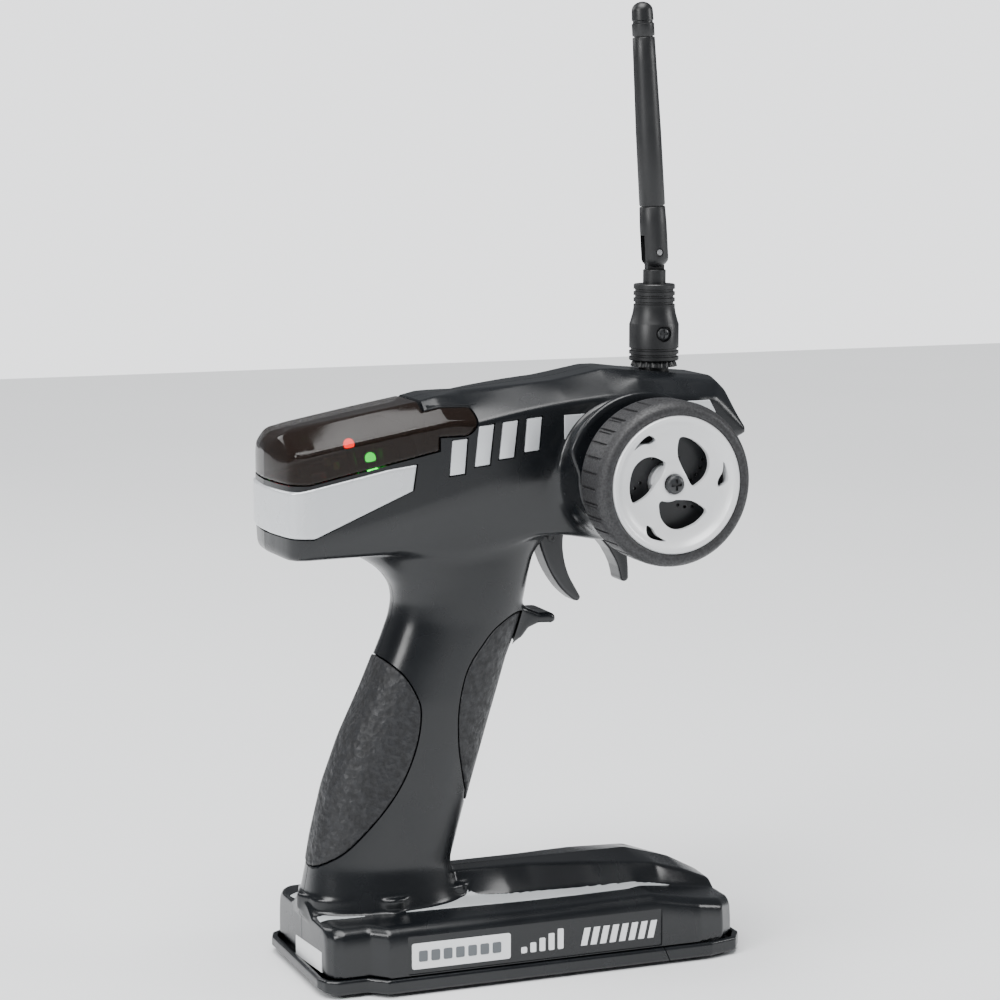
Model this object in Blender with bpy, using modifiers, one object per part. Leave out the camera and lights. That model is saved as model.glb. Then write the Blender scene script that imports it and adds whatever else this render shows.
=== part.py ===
"""Pistol-grip radio transmitter for model cars and boats.

Metres, +Z up, +X forwards (the antenna's end), +Y to the user's left. The origin is the centre
of the base's underside. The steering wheel is on the right, at -Y.

The mouldings come from a few side-view lines: heights along X for the head and the base, and
front and rear edges along Z for the grip. Each moulding is a loft through sections read off them.
"""

import math

import bmesh
import bpy
from mathutils import Matrix, Vector

# ---------------------------------------------------------------- driving dimensions
WALL = 0.0022  # wall of the mouldings
GAP = 0.0003  # clearance between touching pieces
SPLIT = 0.00015  # half the gap between the left and right halves

WHEEL = Vector((0.0334, 0, 0.1640))  # steering axis, along Y
TYRE_RADIUS = 0.0263
RIM_RADIUS = 0.0219
WHEEL_FACE = 0.0627  # distance of the wheel's outer face from the middle plane
BARREL_RADIUS = 0.0268  # flange of the cowl that carries the wheel
NECK_RADIUS = 0.0226
BARREL_FACE = 0.0370
COWL_DEPTH = 0.0180
COWL_START = Vector((WHEEL.x, COWL_DEPTH - BARREL_FACE, WHEEL.z))
BUSH_RADIUS = 0.0062
SHAFT_RADIUS = 0.0030

TRIGGER_PIVOT = Vector((0.0173, 0, 0.1476))
PIN_RADIUS = 0.00125
COVER_PIVOT = Vector((-0.0230, 0, 0.1828))
COVER_WALL = 0.0016
COVER_EAR = 0.0055  # radius of the ears that the cover turns on
COVER_FRONT = -0.0340

ANTENNA_X = 0.0535
ANTENNA_PIN_Z = 0.2332
ANTENNA_LEAN = math.radians(3.7)
ANTENNA_LENGTH = 0.0820  # from the hinge pin to the tip

PANEL_TILT = math.radians(11.0)  # slope of the control panel under the cover
PANEL_POINT = Vector((-0.0500, 0, 0.1670))  # on the panel's upper face

BASE_REAR, BASE_FRONT = -0.0712, 0.0712
TRAY_TOP = 0.0060
DOOR_SPLIT = 0.0430  # where the battery door meets the fixed front plate

CELL_RADIUS, CELL_LENGTH, CELL_PITCH = 0.0070, 0.0490, 0.0149
CELL_COUNT = 8
CELL_Z = 0.0112
CELL_MIDDLE_X = -0.0025

# Side-view lines of the head, each a few (x, z) points.
CROWN_LINE = ((-0.0826, 0.1725), (-0.0812, 0.1760), (-0.0796, 0.1783), (-0.0775, 0.1798), (-0.0740, 0.1808),
              (-0.0500, 0.1850), (-0.0340, 0.1877), (-0.0280, 0.1891), (-0.0120, 0.1907), (0.0130, 0.1930),
              (0.0190, 0.1940), (0.0300, 0.1960), (0.0350, 0.1960), (0.0440, 0.1949), (0.0695, 0.1926),
              (0.0730, 0.1890), (0.0787, 0.1775))
EDGE_LINE = ((-0.0826, 0.1722), (-0.0812, 0.1742), (-0.0780, 0.1765), (-0.0720, 0.1779), (-0.0280, 0.1859),
             (-0.0180, 0.1857), (0.0130, 0.1905), (0.0340, 0.1928), (0.0400, 0.1936), (0.0690, 0.1911),
             (0.0725, 0.1878), (0.0787, 0.1768))
SHOULDER_LINE = ((-0.0826, 0.1715), (-0.0780, 0.1742), (-0.0182, 0.1834), (0.0105, 0.1862),
                 (0.0284, 0.1880), (0.0670, 0.1862), (0.0787, 0.1755))
CREASE_LINE = ((-0.0826, 0.1440), (-0.0740, 0.1450), (-0.0560, 0.1485), (-0.0375, 0.1532),
               (0.0067, 0.1648), (0.0400, 0.1720), (0.0787, 0.1735))
UNDERSIDE_LINE = ((-0.0826, 0.1410), (-0.0790, 0.1396), (-0.0200, 0.1392), (0.0060, 0.1424),
                  (0.0300, 0.1424), (0.0420, 0.1440), (0.0560, 0.1540), (0.0759, 0.1704), (0.0787, 0.1730))
HEAD_PLAN = ((-0.0826, 0.0006), (-0.0814, 0.0110), (-0.0798, 0.0185), (-0.0782, 0.0205), (-0.0757, 0.0216),
             (-0.0720, 0.0220), (0.0600, 0.0220), (0.0787, 0.0190))
HEAD_LOWER_PLAN = ((-0.0826, 0.0005), (-0.0814, 0.0100), (-0.0798, 0.0165), (-0.0775, 0.0192),
                   (-0.0740, 0.0200), (-0.0650, 0.0190), (-0.0400, 0.0165), (0.0300, 0.0150),
                   (0.0787, 0.0150))
SKIRT_LINE = ((-0.0830, 0.1640), (-0.0739, 0.1640), (-0.0303, 0.1730))  # lower edge of the cover
HEAD_STATIONS = (-0.0826, -0.0814, -0.0798, -0.0782, -0.0757, -0.0720, -0.0600, -0.0450, -0.0340, -0.0280,
                 -0.0180, -0.0055, 0.0105, 0.0190, 0.0300, 0.0350, 0.0440, 0.0560, 0.0690, 0.0730, 0.0787)
CROWN_HALF, EDGE_HALF = 0.0100, 0.0160
HEAD_INNER_REAR = -0.0780  # rear end of the head's hollow

# Edges of the grip in side view, each a few (z, x) points, and its half width.
GRIP_REAR = ((0.0200, -0.0720), (0.0270, -0.0705), (0.0344, -0.0691), (0.0463, -0.0669), (0.0620, -0.0630),
             (0.0775, -0.0571), (0.0929, -0.0496), (0.1084, -0.0429), (0.1162, -0.0399), (0.1220, -0.0388),
             (0.1270, -0.0396), (0.1323, -0.0435), (0.1380, -0.0520), (0.1450, -0.0600), (0.1520, -0.0640))
GRIP_FRONT = ((0.0200, -0.0150), (0.0270, -0.0190), (0.0351, -0.0209), (0.0590, -0.0143), (0.0827, -0.0073),
              (0.1025, -0.0013), (0.1103, 0.0020), (0.1191, 0.0048), (0.1290, 0.0069), (0.1356, 0.0087),
              (0.1420, 0.0140), (0.1520, 0.0240))
GRIP_HALF = ((0.0200, 0.0190), (0.0280, 0.0170), (0.0360, 0.0152), (0.0600, 0.0148), (0.0900, 0.0152),
             (0.1150, 0.0146), (0.1290, 0.0150), (0.1380, 0.0153), (0.1450, 0.0145), (0.1520, 0.0140))
GRIP_STATIONS = (0.0200, 0.0270, 0.0350, 0.0463, 0.0620, 0.0775, 0.0929, 0.1084, 0.1162, 0.1220, 0.1270,
                 0.1323, 0.1380, 0.1450, 0.1520)
GRIP_POINTS = 22  # points round each section
GRIP_SQUARENESS = 0.8  # 1 gives ellipses, less gives squarer sections

# The base: roof heights and half widths along X.
ROOF_LINE = ((-0.0712, 0.0245), (-0.0680, 0.0252), (-0.0500, 0.0280), (-0.0300, 0.0305), (-0.0200, 0.0312),
             (0.0440, 0.0312), (0.0600, 0.0265), (0.0712, 0.0205))
RIDGE_LINE = ((-0.0712, 0.0243), (-0.0680, 0.0250), (-0.0500, 0.0278), (-0.0300, 0.0303), (-0.0200, 0.0310),
              (0.0050, 0.0310), (0.0270, 0.0303), (0.0490, 0.0285), (0.0600, 0.0248), (0.0712, 0.0200))
RIDGE_TOP = ((-0.0712, 0.0062), (0.0050, 0.0066), (0.0270, 0.0105), (0.0490, 0.0138), (0.0712, 0.0100))
RIDGE_FOOT = ((-0.0712, 0.0105), (-0.0195, 0.0092), (-0.0116, 0.0113), (-0.0034, 0.0137), (0.0078, 0.0149),
              (0.0189, 0.0160), (0.0302, 0.0170), (0.0419, 0.0177), (0.0540, 0.0174), (0.0712, 0.0130))
LEDGE_LINE = ((-0.0712, 0.0215), (-0.0680, 0.0225), (0.0400, 0.0240), (0.0712, 0.0180))
BASE_PLAN = ((-0.0712, 0.0255), (-0.0695, 0.0288), (-0.0665, 0.0305), (-0.0580, 0.0305), (-0.0530, 0.0355),
             (0.0560, 0.0355), (0.0650, 0.0335), (0.0712, 0.0270))
BASE_STATIONS = (-0.0712, -0.0695, -0.0665, -0.0580, -0.0530, -0.0300, -0.0195, -0.0034, 0.0130, 0.0270,
                 0.0440, 0.0490, 0.0600, 0.0650, 0.0712)
TRAY_PLAN = ((-0.0740, 0.0250), (-0.0725, 0.0290), (-0.0690, 0.0315), (-0.0590, 0.0315), (-0.0535, 0.0362),
             (0.0600, 0.0362), (0.0700, 0.0335), (0.0740, 0.0270))

# ---------------------------------------------------------------- scene and finishes
for leftover in list(bpy.data.objects):
    bpy.data.objects.remove(leftover)

PARTS = bpy.data.collections.new("radio_transmitter")
CUTTERS = bpy.data.collections.new("cutters")
bpy.context.scene.collection.children.link(PARTS)
bpy.context.scene.collection.children.link(CUTTERS)
CUTTERS.hide_render = True


def finish(name, colour, roughness, metallic=0.0, transmission=0.0):
    """A Principled material of one colour."""
    made = bpy.data.materials.new(name)
    made.use_nodes = True
    shader = made.node_tree.nodes["Principled BSDF"]
    shader.inputs["Base Color"].default_value = (*colour, 1)
    shader.inputs["Roughness"].default_value = roughness
    shader.inputs["Metallic"].default_value = metallic
    shader.inputs["Transmission Weight"].default_value = transmission
    made.diffuse_color = (*colour, 1)
    return made


BLACK = finish("black_plastic", (0.022, 0.028, 0.034), 0.32)
GREY = finish("dark_grey_plastic", (0.06, 0.06, 0.065), 0.45)
SILVER = finish("silver_paint", (0.72, 0.74, 0.76), 0.3, 0.2)
SMOKE = finish("smoked_cover", (0.05, 0.035, 0.03), 0.06, 0.0, 0.6)
RUBBER = finish("rubber", (0.035, 0.035, 0.037), 0.8)
TREAD = finish("tyre_rubber", (0.075, 0.072, 0.075), 0.7)
STEEL = finish("steel", (0.6, 0.6, 0.6), 0.3, 1.0)
BRASS = finish("brass", (0.7, 0.52, 0.25), 0.35, 1.0)
BOARD = finish("circuit_board", (0.03, 0.15, 0.06), 0.5)
CELL = finish("battery_wrap", (0.12, 0.2, 0.4), 0.4)
WHITE = finish("white_plastic", (0.8, 0.8, 0.8), 0.4)
RED = finish("red_lens", (0.8, 0.05, 0.03), 0.2)
GREEN = finish("green_lens", (0.05, 0.7, 0.15), 0.2)


# ---------------------------------------------------------------- ways of making a shape
def add(name, mesh, look, smooth=None):
    """A new object in the parts' collection. With smooth, edges under that angle shade smooth."""
    made = bpy.data.objects.new(name, mesh)
    PARTS.objects.link(made)
    mesh.materials.clear()
    mesh.materials.append(look)
    if smooth is not None:
        mesh.shade_smooth()
        mesh.set_sharp_from_angle(angle=math.radians(smooth))
    return made


def place_origin(shape, place):
    """Moves an object's origin to a point and leaves its shape where it is."""
    moved = Vector(place) - shape.matrix_world.translation
    shape.data.transform(Matrix.Translation(shape.matrix_world.to_3x3().inverted() @ -moved))
    shape.matrix_world.translation = Vector(place)


def as_cutter(shape):
    PARTS.objects.unlink(shape)
    CUTTERS.objects.link(shape)
    shape.hide_render = True
    shape.display_type = "WIRE"
    return shape


def mesh_of(name, bm):
    bmesh.ops.recalc_face_normals(bm, faces=bm.faces)
    mesh = bpy.data.meshes.new(name)
    bm.to_mesh(mesh)
    bm.free()
    return mesh


def box(name, low, high, look, tilt=0.0, about=(0, 0, 0)):
    """A block between two corners, then turned about the Y axis through a point."""
    low, high = Vector(low), Vector(high)
    bm = bmesh.new()
    bmesh.ops.create_cube(bm, size=1)
    place = Matrix.Translation((low + high) / 2) @ Matrix.Diagonal((*(high - low), 1))
    bmesh.ops.transform(bm, matrix=place, verts=bm.verts)
    about = Vector(about)
    turn = Matrix.Translation(about) @ Matrix.Rotation(tilt, 4, "Y") @ Matrix.Translation(-about)
    bmesh.ops.transform(bm, matrix=turn, verts=bm.verts)
    return add(name, mesh_of(name, bm), look)


def towards(direction):
    """The rotation that takes +Z to a direction."""
    return Vector((0, 0, 1)).rotation_difference(Vector(direction)).to_matrix().to_4x4()


def rod(name, start, end, radius, look, sides=24, end_radius=None):
    """A cylinder or cone between two points, with its origin at the first."""
    start, end = Vector(start), Vector(end)
    bm = bmesh.new()
    bmesh.ops.create_cone(bm, cap_ends=True, segments=sides, radius1=radius,
                          radius2=radius if end_radius is None else end_radius, depth=(end - start).length)
    place = Matrix.Translation((start + end) / 2) @ towards(end - start)
    bmesh.ops.transform(bm, matrix=place, verts=bm.verts)
    made = add(name, mesh_of(name, bm), look, 40)
    place_origin(made, start)
    return made


def turned(name, profile, origin, direction, look, steps=32, closed=False):
    """A (radius, height) profile, run from its top down its outer side, turned about an axis."""
    mesh = bpy.data.meshes.new(name)
    count = len(profile)
    edges = [(i, (i + 1) % count) for i in range(count if closed else count - 1)]
    mesh.from_pydata([(r, 0, h) for r, h in profile], edges, [])
    made = add(name, mesh, look)
    made.matrix_world = Matrix.Translation(origin) @ towards(direction)
    screw = made.modifiers.new("turn", "SCREW")
    screw.steps = screw.render_steps = steps
    screw.use_merge_vertices = True
    screw.merge_threshold = 0.00001
    screw.use_smooth_shade = True
    return made


def extruded(name, outline, axis, low, high, look):
    """A flat outline, (x, z) for axis Y or (x, y) for axis Z, extruded between two places on that axis."""
    curve = bpy.data.curves.new(name, "CURVE")
    curve.dimensions = "2D"
    curve.fill_mode = "BOTH"
    curve.extrude = (high - low) / 2
    spline = curve.splines.new("POLY")
    spline.points.add(len(outline) - 1)
    for point, (u, v) in zip(spline.points, outline):
        point.co = (u, v, 0, 1)
    spline.use_cyclic_u = True
    drawn = bpy.data.objects.new(name, curve)
    PARTS.objects.link(drawn)
    middle = (low + high) / 2
    if axis == "Y":
        drawn.matrix_world = Matrix.Translation((0, middle, 0)) @ Matrix.Rotation(math.pi / 2, 4, "X")
    else:
        drawn.matrix_world = Matrix.Translation((0, 0, middle))
    return solid_from_curve(drawn, look)


def solid_from_curve(drawn, look):
    """The curve's evaluated shape as a closed mesh, in the curve's place."""
    bpy.context.view_layer.update()
    mesh = bpy.data.meshes.new_from_object(drawn.evaluated_get(bpy.context.evaluated_depsgraph_get()))
    name, place = drawn.name, drawn.matrix_world.copy()
    bpy.data.objects.remove(drawn)
    bm = bmesh.new()
    bm.from_mesh(mesh)
    bmesh.ops.remove_doubles(bm, verts=bm.verts, dist=1e-6)
    bpy.data.meshes.remove(mesh)
    made = add(name, mesh_of(name, bm), look)
    made.name = name
    made.matrix_world = place
    return made


def wire(name, points, radius, look, resolution=1):
    curve = bpy.data.curves.new(name, "CURVE")
    curve.dimensions = "3D"
    curve.bevel_depth = radius
    curve.bevel_resolution = resolution
    curve.use_fill_caps = True
    spline = curve.splines.new("POLY")
    spline.points.add(len(points) - 1)
    for point, place in zip(spline.points, points):
        point.co = (*place, 1)
    drawn = bpy.data.objects.new(name, curve)
    PARTS.objects.link(drawn)
    return solid_from_curve(drawn, look)


def loft(name, rings, look, smooth=None):
    """A closed skin through rings of equal count, with a flat face on each end."""
    bm = bmesh.new()
    rows = [[bm.verts.new(point) for point in ring] for ring in rings]
    for row, following in zip(rows, rows[1:]):
        for i in range(len(row)):
            j = (i + 1) % len(row)
            bm.faces.new((row[i], row[j], following[j], following[i]))
    bm.faces.new(rows[0])
    bm.faces.new(list(reversed(rows[-1])))
    return add(name, mesh_of(name, bm), look, smooth)


LOFTED = ("body_", "silver_band", "grip_insert", "rear_insert", "front_insert", "flip_cover")


def change(shape, operation, other):
    """A Boolean. EXACT leaves open edges, or nothing at all, where lofts lie a wall's thickness apart."""
    modifier = shape.modifiers.new(other.name, "BOOLEAN")
    modifier.operation = operation
    modifier.solver = "MANIFOLD" if shape.name.startswith(LOFTED) else "EXACT"
    modifier.object = as_cutter(other)
    return shape


def cut(shape, *others):
    for other in others:
        change(shape, "DIFFERENCE", other)
    return shape


def join(shape, *others):
    for other in others:
        change(shape, "UNION", other)
    return shape


def copy_of(name, shape):
    """The same shape as a new object, with its modifiers."""
    made = shape.copy()
    made.data = shape.data.copy()
    made.name = name
    PARTS.objects.link(made)
    return made


def along(line, x):
    """A value read off a line of (place, value) points."""
    if x <= line[0][0]:
        return line[0][1]
    for (x0, v0), (x1, v1) in zip(line, line[1:]):
        if x <= x1:
            return v0 + (v1 - v0) * (x - x0) / (x1 - x0)
    return line[-1][1]


def arc(centre, radius, start, end, count):
    """Points on an arc, with its ends, angles in degrees."""
    angles = (math.radians(start + (end - start) * i / (count - 1)) for i in range(count))
    return [(centre[0] + radius * math.cos(a), centre[1] + radius * math.sin(a)) for a in angles]


def mirrored(half):
    """A ring of (y, z) from the half at +Y, whose first and last points lie on the middle plane."""
    return half + [(-y, z) for y, z in reversed(half[1:-1])]


# ---------------------------------------------------------------- the mouldings' forms
def head_ring(x, inset=0.0):
    """The head's section at x. An inset gives the inner face of a wall."""
    half = max(along(HEAD_PLAN, x) - inset, 0.0003)
    lower = min(max(along(HEAD_LOWER_PLAN, x) - inset, 0.0002), half)
    edge = min(EDGE_HALF, half * 0.85)
    crown = min(CROWN_HALF, half * 0.5)
    points = [
        (0, along(CROWN_LINE, x) - inset),
        (crown, along(CROWN_LINE, x) - inset),
        (edge - inset / 2, along(EDGE_LINE, x) - inset),
        (half, along(SHOULDER_LINE, x) - inset),
        (half, along(CREASE_LINE, x) + inset / 2),
        (lower, along(UNDERSIDE_LINE, x) + inset),
        (0, along(UNDERSIDE_LINE, x) + inset),
    ]
    return [(x, y, z) for y, z in mirrored(points)]


def head_form(name, look, inset=0.0, first=None, last=None):
    stations = [x for x in HEAD_STATIONS if (first is None or x > first) and (last is None or x < last)]
    stations = ([first] if first is not None else []) + stations + ([last] if last is not None else [])
    return loft(name, [head_ring(x, inset) for x in stations], look)


def grip_ring(z, inset=0.0):
    rear, front = along(GRIP_REAR, z) + inset, along(GRIP_FRONT, z) - inset
    half = along(GRIP_HALF, z) - inset
    middle, reach = (rear + front) / 2, (front - rear) / 2
    ring = []
    for i in range(GRIP_POINTS):
        a = 2 * math.pi * i / GRIP_POINTS
        c, s = math.cos(a), math.sin(a)
        c, s = math.copysign(abs(c) ** GRIP_SQUARENESS, c), math.copysign(abs(s) ** GRIP_SQUARENESS, s)
        ring.append((middle + reach * c, half * s, z))
    return ring


def grip_form(name, look, inset=0.0):
    return loft(name, [grip_ring(z, inset) for z in GRIP_STATIONS], look, 40)


def base_ring(x, inset=0.0, floor=TRAY_TOP + GAP):
    half = along(BASE_PLAN, x) - inset
    roof = along(ROOF_LINE, x) - inset
    ledge = min(along(LEDGE_LINE, x) - inset, roof - 0.0008)
    points = [
        (0, roof),
        (along(RIDGE_TOP, x) - inset / 2, along(RIDGE_LINE, x) - inset),
        (along(RIDGE_FOOT, x) - inset, ledge),
        (half - 0.0035, ledge - 0.0004),
        (half - 0.0008, ledge - 0.0022),
        (half, ledge - 0.0060),
        (half, floor),
        (0, floor),
    ]
    return [(x, y, z) for y, z in mirrored(points)]


def base_form(name, look, inset=0.0, floor=TRAY_TOP + GAP):
    first, last = BASE_REAR + inset, BASE_FRONT - inset
    stations = [first] + [x for x in BASE_STATIONS if first < x < last] + [last]
    return loft(name, [base_ring(x, inset, floor) for x in stations], look)


def both_sides(plan):
    return list(plan) + [(x, -y) for x, y in reversed(plan)]


# ---------------------------------------------------------------- body mouldings
GUARD_OUTLINE = (
    [(0.0262, 0.1421), (0.0262, 0.1412), (0.0300, 0.1400), (0.0335, 0.1377), (0.0358, 0.1350),
     (0.0378, 0.1316), (0.0390, 0.1290), (0.0399, 0.1255)]
    + arc((0.0414, 0.1252), 0.0015, 190, 350, 5)
    + [(0.0428, 0.1285), (0.0424, 0.1330), (0.0410, 0.1375), (0.0419, 0.1435), (0.0300, 0.1421)]
)
SPUR_OUTLINE = (
    [(-0.0050, 0.1180), (0.0048, 0.1177), (0.0095, 0.1158), (0.0127, 0.1158)]
    + arc((0.0134, 0.1138), 0.0017, 70, -110, 5)
    + [(0.0090, 0.1124), (0.0055, 0.1110), (0.0030, 0.1080), (-0.0050, 0.1040)]
)
GUARD_HALF, SPUR_HALF = 0.0050, 0.0085
TRIGGER_SLOT = ((0.0078, 0.1280), (0.0256, 0.1280), (0.0256, 0.1560), (0.0078, 0.1560))
TRIGGER_HALF = 0.0048

GILL_WIDTH = 0.0052
GILL_TOPS = ((-0.0238, 0.1763), (-0.0147, 0.1805), (-0.0065, 0.1815), (0.0018, 0.1823))
GILL_FEET = ((-0.0247, 0.1650), (-0.0162, 0.1675), (-0.0079, 0.1695), (0.0008, 0.1714))


def gill_outline(index, margin=0.0):
    """One gill in side view, its ends a little aslant."""
    half = GILL_WIDTH / 2 + margin
    (top_x, top), (foot_x, foot) = GILL_TOPS[index], GILL_FEET[index]
    rise, top, foot = half * 0.1, top + margin, foot - margin
    return [(foot_x - half, foot - rise), (foot_x + half, foot + rise), (top_x + half, top + rise),
            (top_x - half, top - rise)]


BAND_OUTLINE = ((-0.0900, 0.1475), (-0.0724, 0.1470), (-0.0398, 0.1607), (-0.0385, 0.1690),
                (-0.0480, 0.1678), (-0.0770, 0.1620), (-0.0900, 0.1620))


def cowl_hood(name):
    """The flange over the upper half of the wheel's back, which flares out of the neck."""
    top = COWL_DEPTH
    profile = [(0, top), (BARREL_RADIUS - 0.0010, top), (BARREL_RADIUS, top - 0.0010),
               (BARREL_RADIUS, top - 0.0026), (NECK_RADIUS + 0.0010, top - 0.0062),
               (NECK_RADIUS - 0.0020, top - 0.0090), (0, top - 0.0090)]
    hood = turned(name, profile, COWL_START, (0, -1, 0), BLACK, 36)
    upper = [(-0.0100, WHEEL.z + 0.0040), (0.0800, WHEEL.z + 0.0040), (0.0800, 0.2100), (-0.0100, 0.2100)]
    return change(hood, "INTERSECT", slab(name + "_extent", upper, 0.0600))


def body_blank():
    """Head, wheel cowl, grip, base and finger spur as one hollow moulding, before it is split."""
    blank = head_form("body_blank", BLACK)
    join(
        blank,
        grip_form("grip_outside", BLACK),
        base_form("base_outside", BLACK),
        turned("cowl_outside", [(0, COWL_DEPTH), (NECK_RADIUS, COWL_DEPTH), (NECK_RADIUS, 0), (0, 0)],
               COWL_START, (0, -1, 0), BLACK, 36),
        cowl_hood("cowl_hood"),
        extruded("spur_outside", SPUR_OUTLINE, "Y", -SPUR_HALF, SPUR_HALF, BLACK),
    )
    cut(
        blank,
        head_form("head_inside", BLACK, WALL, HEAD_INNER_REAR, 0.0740),
        grip_form("grip_inside", BLACK, WALL),
        base_form("base_inside", BLACK, WALL, 0.0),
        turned("cowl_inside",
               [(0, COWL_DEPTH - WALL), (NECK_RADIUS - WALL, COWL_DEPTH - WALL),
                (NECK_RADIUS - WALL, -0.0060), (0, -0.0060)], COWL_START, (0, -1, 0), BLACK, 36),
        rod("bush_hole", (WHEEL.x, -0.0320, WHEEL.z), (WHEEL.x, -0.0400, WHEEL.z), 0.0065, BLACK),
        extruded("trigger_slot", TRIGGER_SLOT, "Y", -TRIGGER_HALF - 0.0006, TRIGGER_HALF + 0.0006, BLACK),
        extruded("cover_space", [(-0.0900, along(SKIRT_LINE, -0.09) - GAP), (-0.0739, 0.1640 - GAP),
                                 (-0.0303, 0.1730 - GAP), (-0.0303, 0.1775), (COVER_FRONT + 0.0012, 0.1775)]
                 + [(COVER_FRONT + 0.0012, 0.1850), (COVER_FRONT + 0.0036, 0.1990), (-0.0900, 0.1990)],
                 "Y", -0.0300, 0.0300, BLACK),
    )
    return blank


def slab(label, outline, half=0.0300):
    return extruded(label, outline, "Y", -half, half, BLACK)


def layer(name, form, outer, inner, outline, look):
    """The part of a form between two insets that lies inside a side-view outline."""
    made = form(name, look, outer)
    change(made, "DIFFERENCE", form(name + "_core", look, inner))
    change(made, "INTERSECT", slab(name + "_outline", outline))
    return made


def grown(outline, margin):
    """A convex outline moved outwards."""
    centre = Vector((sum(u for u, _ in outline) / len(outline), sum(v for _, v in outline) / len(outline)))
    return [tuple(Vector(p) + (Vector(p) - centre).normalized() * margin) for p in outline]


REAR_INSERT = ((-0.0500, 0.1062), (-0.0410, 0.1005), (-0.0362, 0.0926), (-0.0349, 0.0858), (-0.0370, 0.0744),
               (-0.0429, 0.0617), (-0.0532, 0.0493), (-0.0645, 0.0395), (-0.0800, 0.0340), (-0.0900, 0.0700),
               (-0.0700, 0.1080))
FRONT_INSERT = ((0.0030, 0.1170), (-0.0070, 0.1136), (-0.0133, 0.1074), (-0.0186, 0.0995), (-0.0214, 0.0881),
                (-0.0214, 0.0764), (-0.0200, 0.0679), (-0.0176, 0.0594), (-0.0140, 0.0540), (0.0150, 0.0560),
                (0.0300, 0.0850), (0.0200, 0.1120))
INSERT_PROUD, INSERT_DEPTH = 0.0004, 0.0009
EAR_SPACE = ([(-0.0400, COVER_PIVOT.z - COVER_EAR - GAP)]
             + arc((COVER_PIVOT.x, COVER_PIVOT.z), COVER_EAR + GAP, -90, 82, 9)
             + [(COVER_PIVOT.x + 0.0012, 0.1990), (-0.0400, 0.1990)])
EAR_INNER = 0.0150  # distance of the ears' inner faces from the middle plane
BOSS_LOW, BOSS_HIGH = 0.0066, 0.0084  # bosses that hold the trigger's pin


JACK = Vector((-0.0440, 0.0358, 0.0150))  # centre of the charge jack's outer face
LABEL_LOW, LABEL_HIGH = (-0.0455, 0.0088), (-0.0125, 0.0170)  # (x, z) corners of the side label
RECESS_LOW, RECESS_HIGH = (-0.0469, 0.0078), (0.0420, 0.0175)
RECESS_DEPTH = 0.0007
# The screws that close the halves: x, z and the half width there.
SCREWS = ((-0.0500, 0.1500, 0.0220), (0.0600, 0.1760, 0.0219), (-0.0450, 0.0420, 0.0150))
POST_RADIUS, SCREW_HEAD, SCREW_SHANK = 0.0034, 0.0024, 0.0010
HEAD_SINK = 0.0035  # depth of the screw heads' counterbores


def screw_posts(half, side, label):
    """Posts that meet at the middle plane, bored for the screws that enter from the left."""
    for i, (x, z, reach) in enumerate(SCREWS):
        join(half, rod("post_%d_%s" % (i, label), (x, side * SPLIT, z), (x, side * (reach - 0.0010), z),
                       POST_RADIUS, BLACK, 16))
        cut(half, rod("post_bore_%d_%s" % (i, label), (x, -0.0085, z), (x, reach - HEAD_SINK - 0.0020, z),
                      SCREW_SHANK + GAP, BLACK, 12))
        if side > 0:
            cut(half, rod("counterbore_%d" % i, (x, reach - HEAD_SINK, z), (x, reach + 0.0050, z),
                          SCREW_HEAD + GAP, BLACK, 16),
                rod("post_through_%d" % i, (x, -0.0010, z), (x, reach, z), SCREW_SHANK + GAP, BLACK, 12))


def body_screws():
    for i, (x, z, reach) in enumerate(SCREWS):
        seat = reach - HEAD_SINK + GAP
        screw = rod("body_screw_%d" % (i + 1), (x, seat, z), (x, seat + 0.0018, z), SCREW_HEAD, STEEL, 16)
        join(screw, rod("body_screw_shank_%d" % i, (x, -0.0080, z), (x, seat + 0.0005, z),
                        SCREW_SHANK, STEEL, 10))
        for a, b in ((0.0015, 0.0004), (0.0004, 0.0015)):
            cut(screw, box("screw_cross_%d_%d" % (i, a * 1e4), (x - a, seat + 0.0009, z - b),
                           (x + a, seat + 0.0040, z + b), STEEL))


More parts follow.
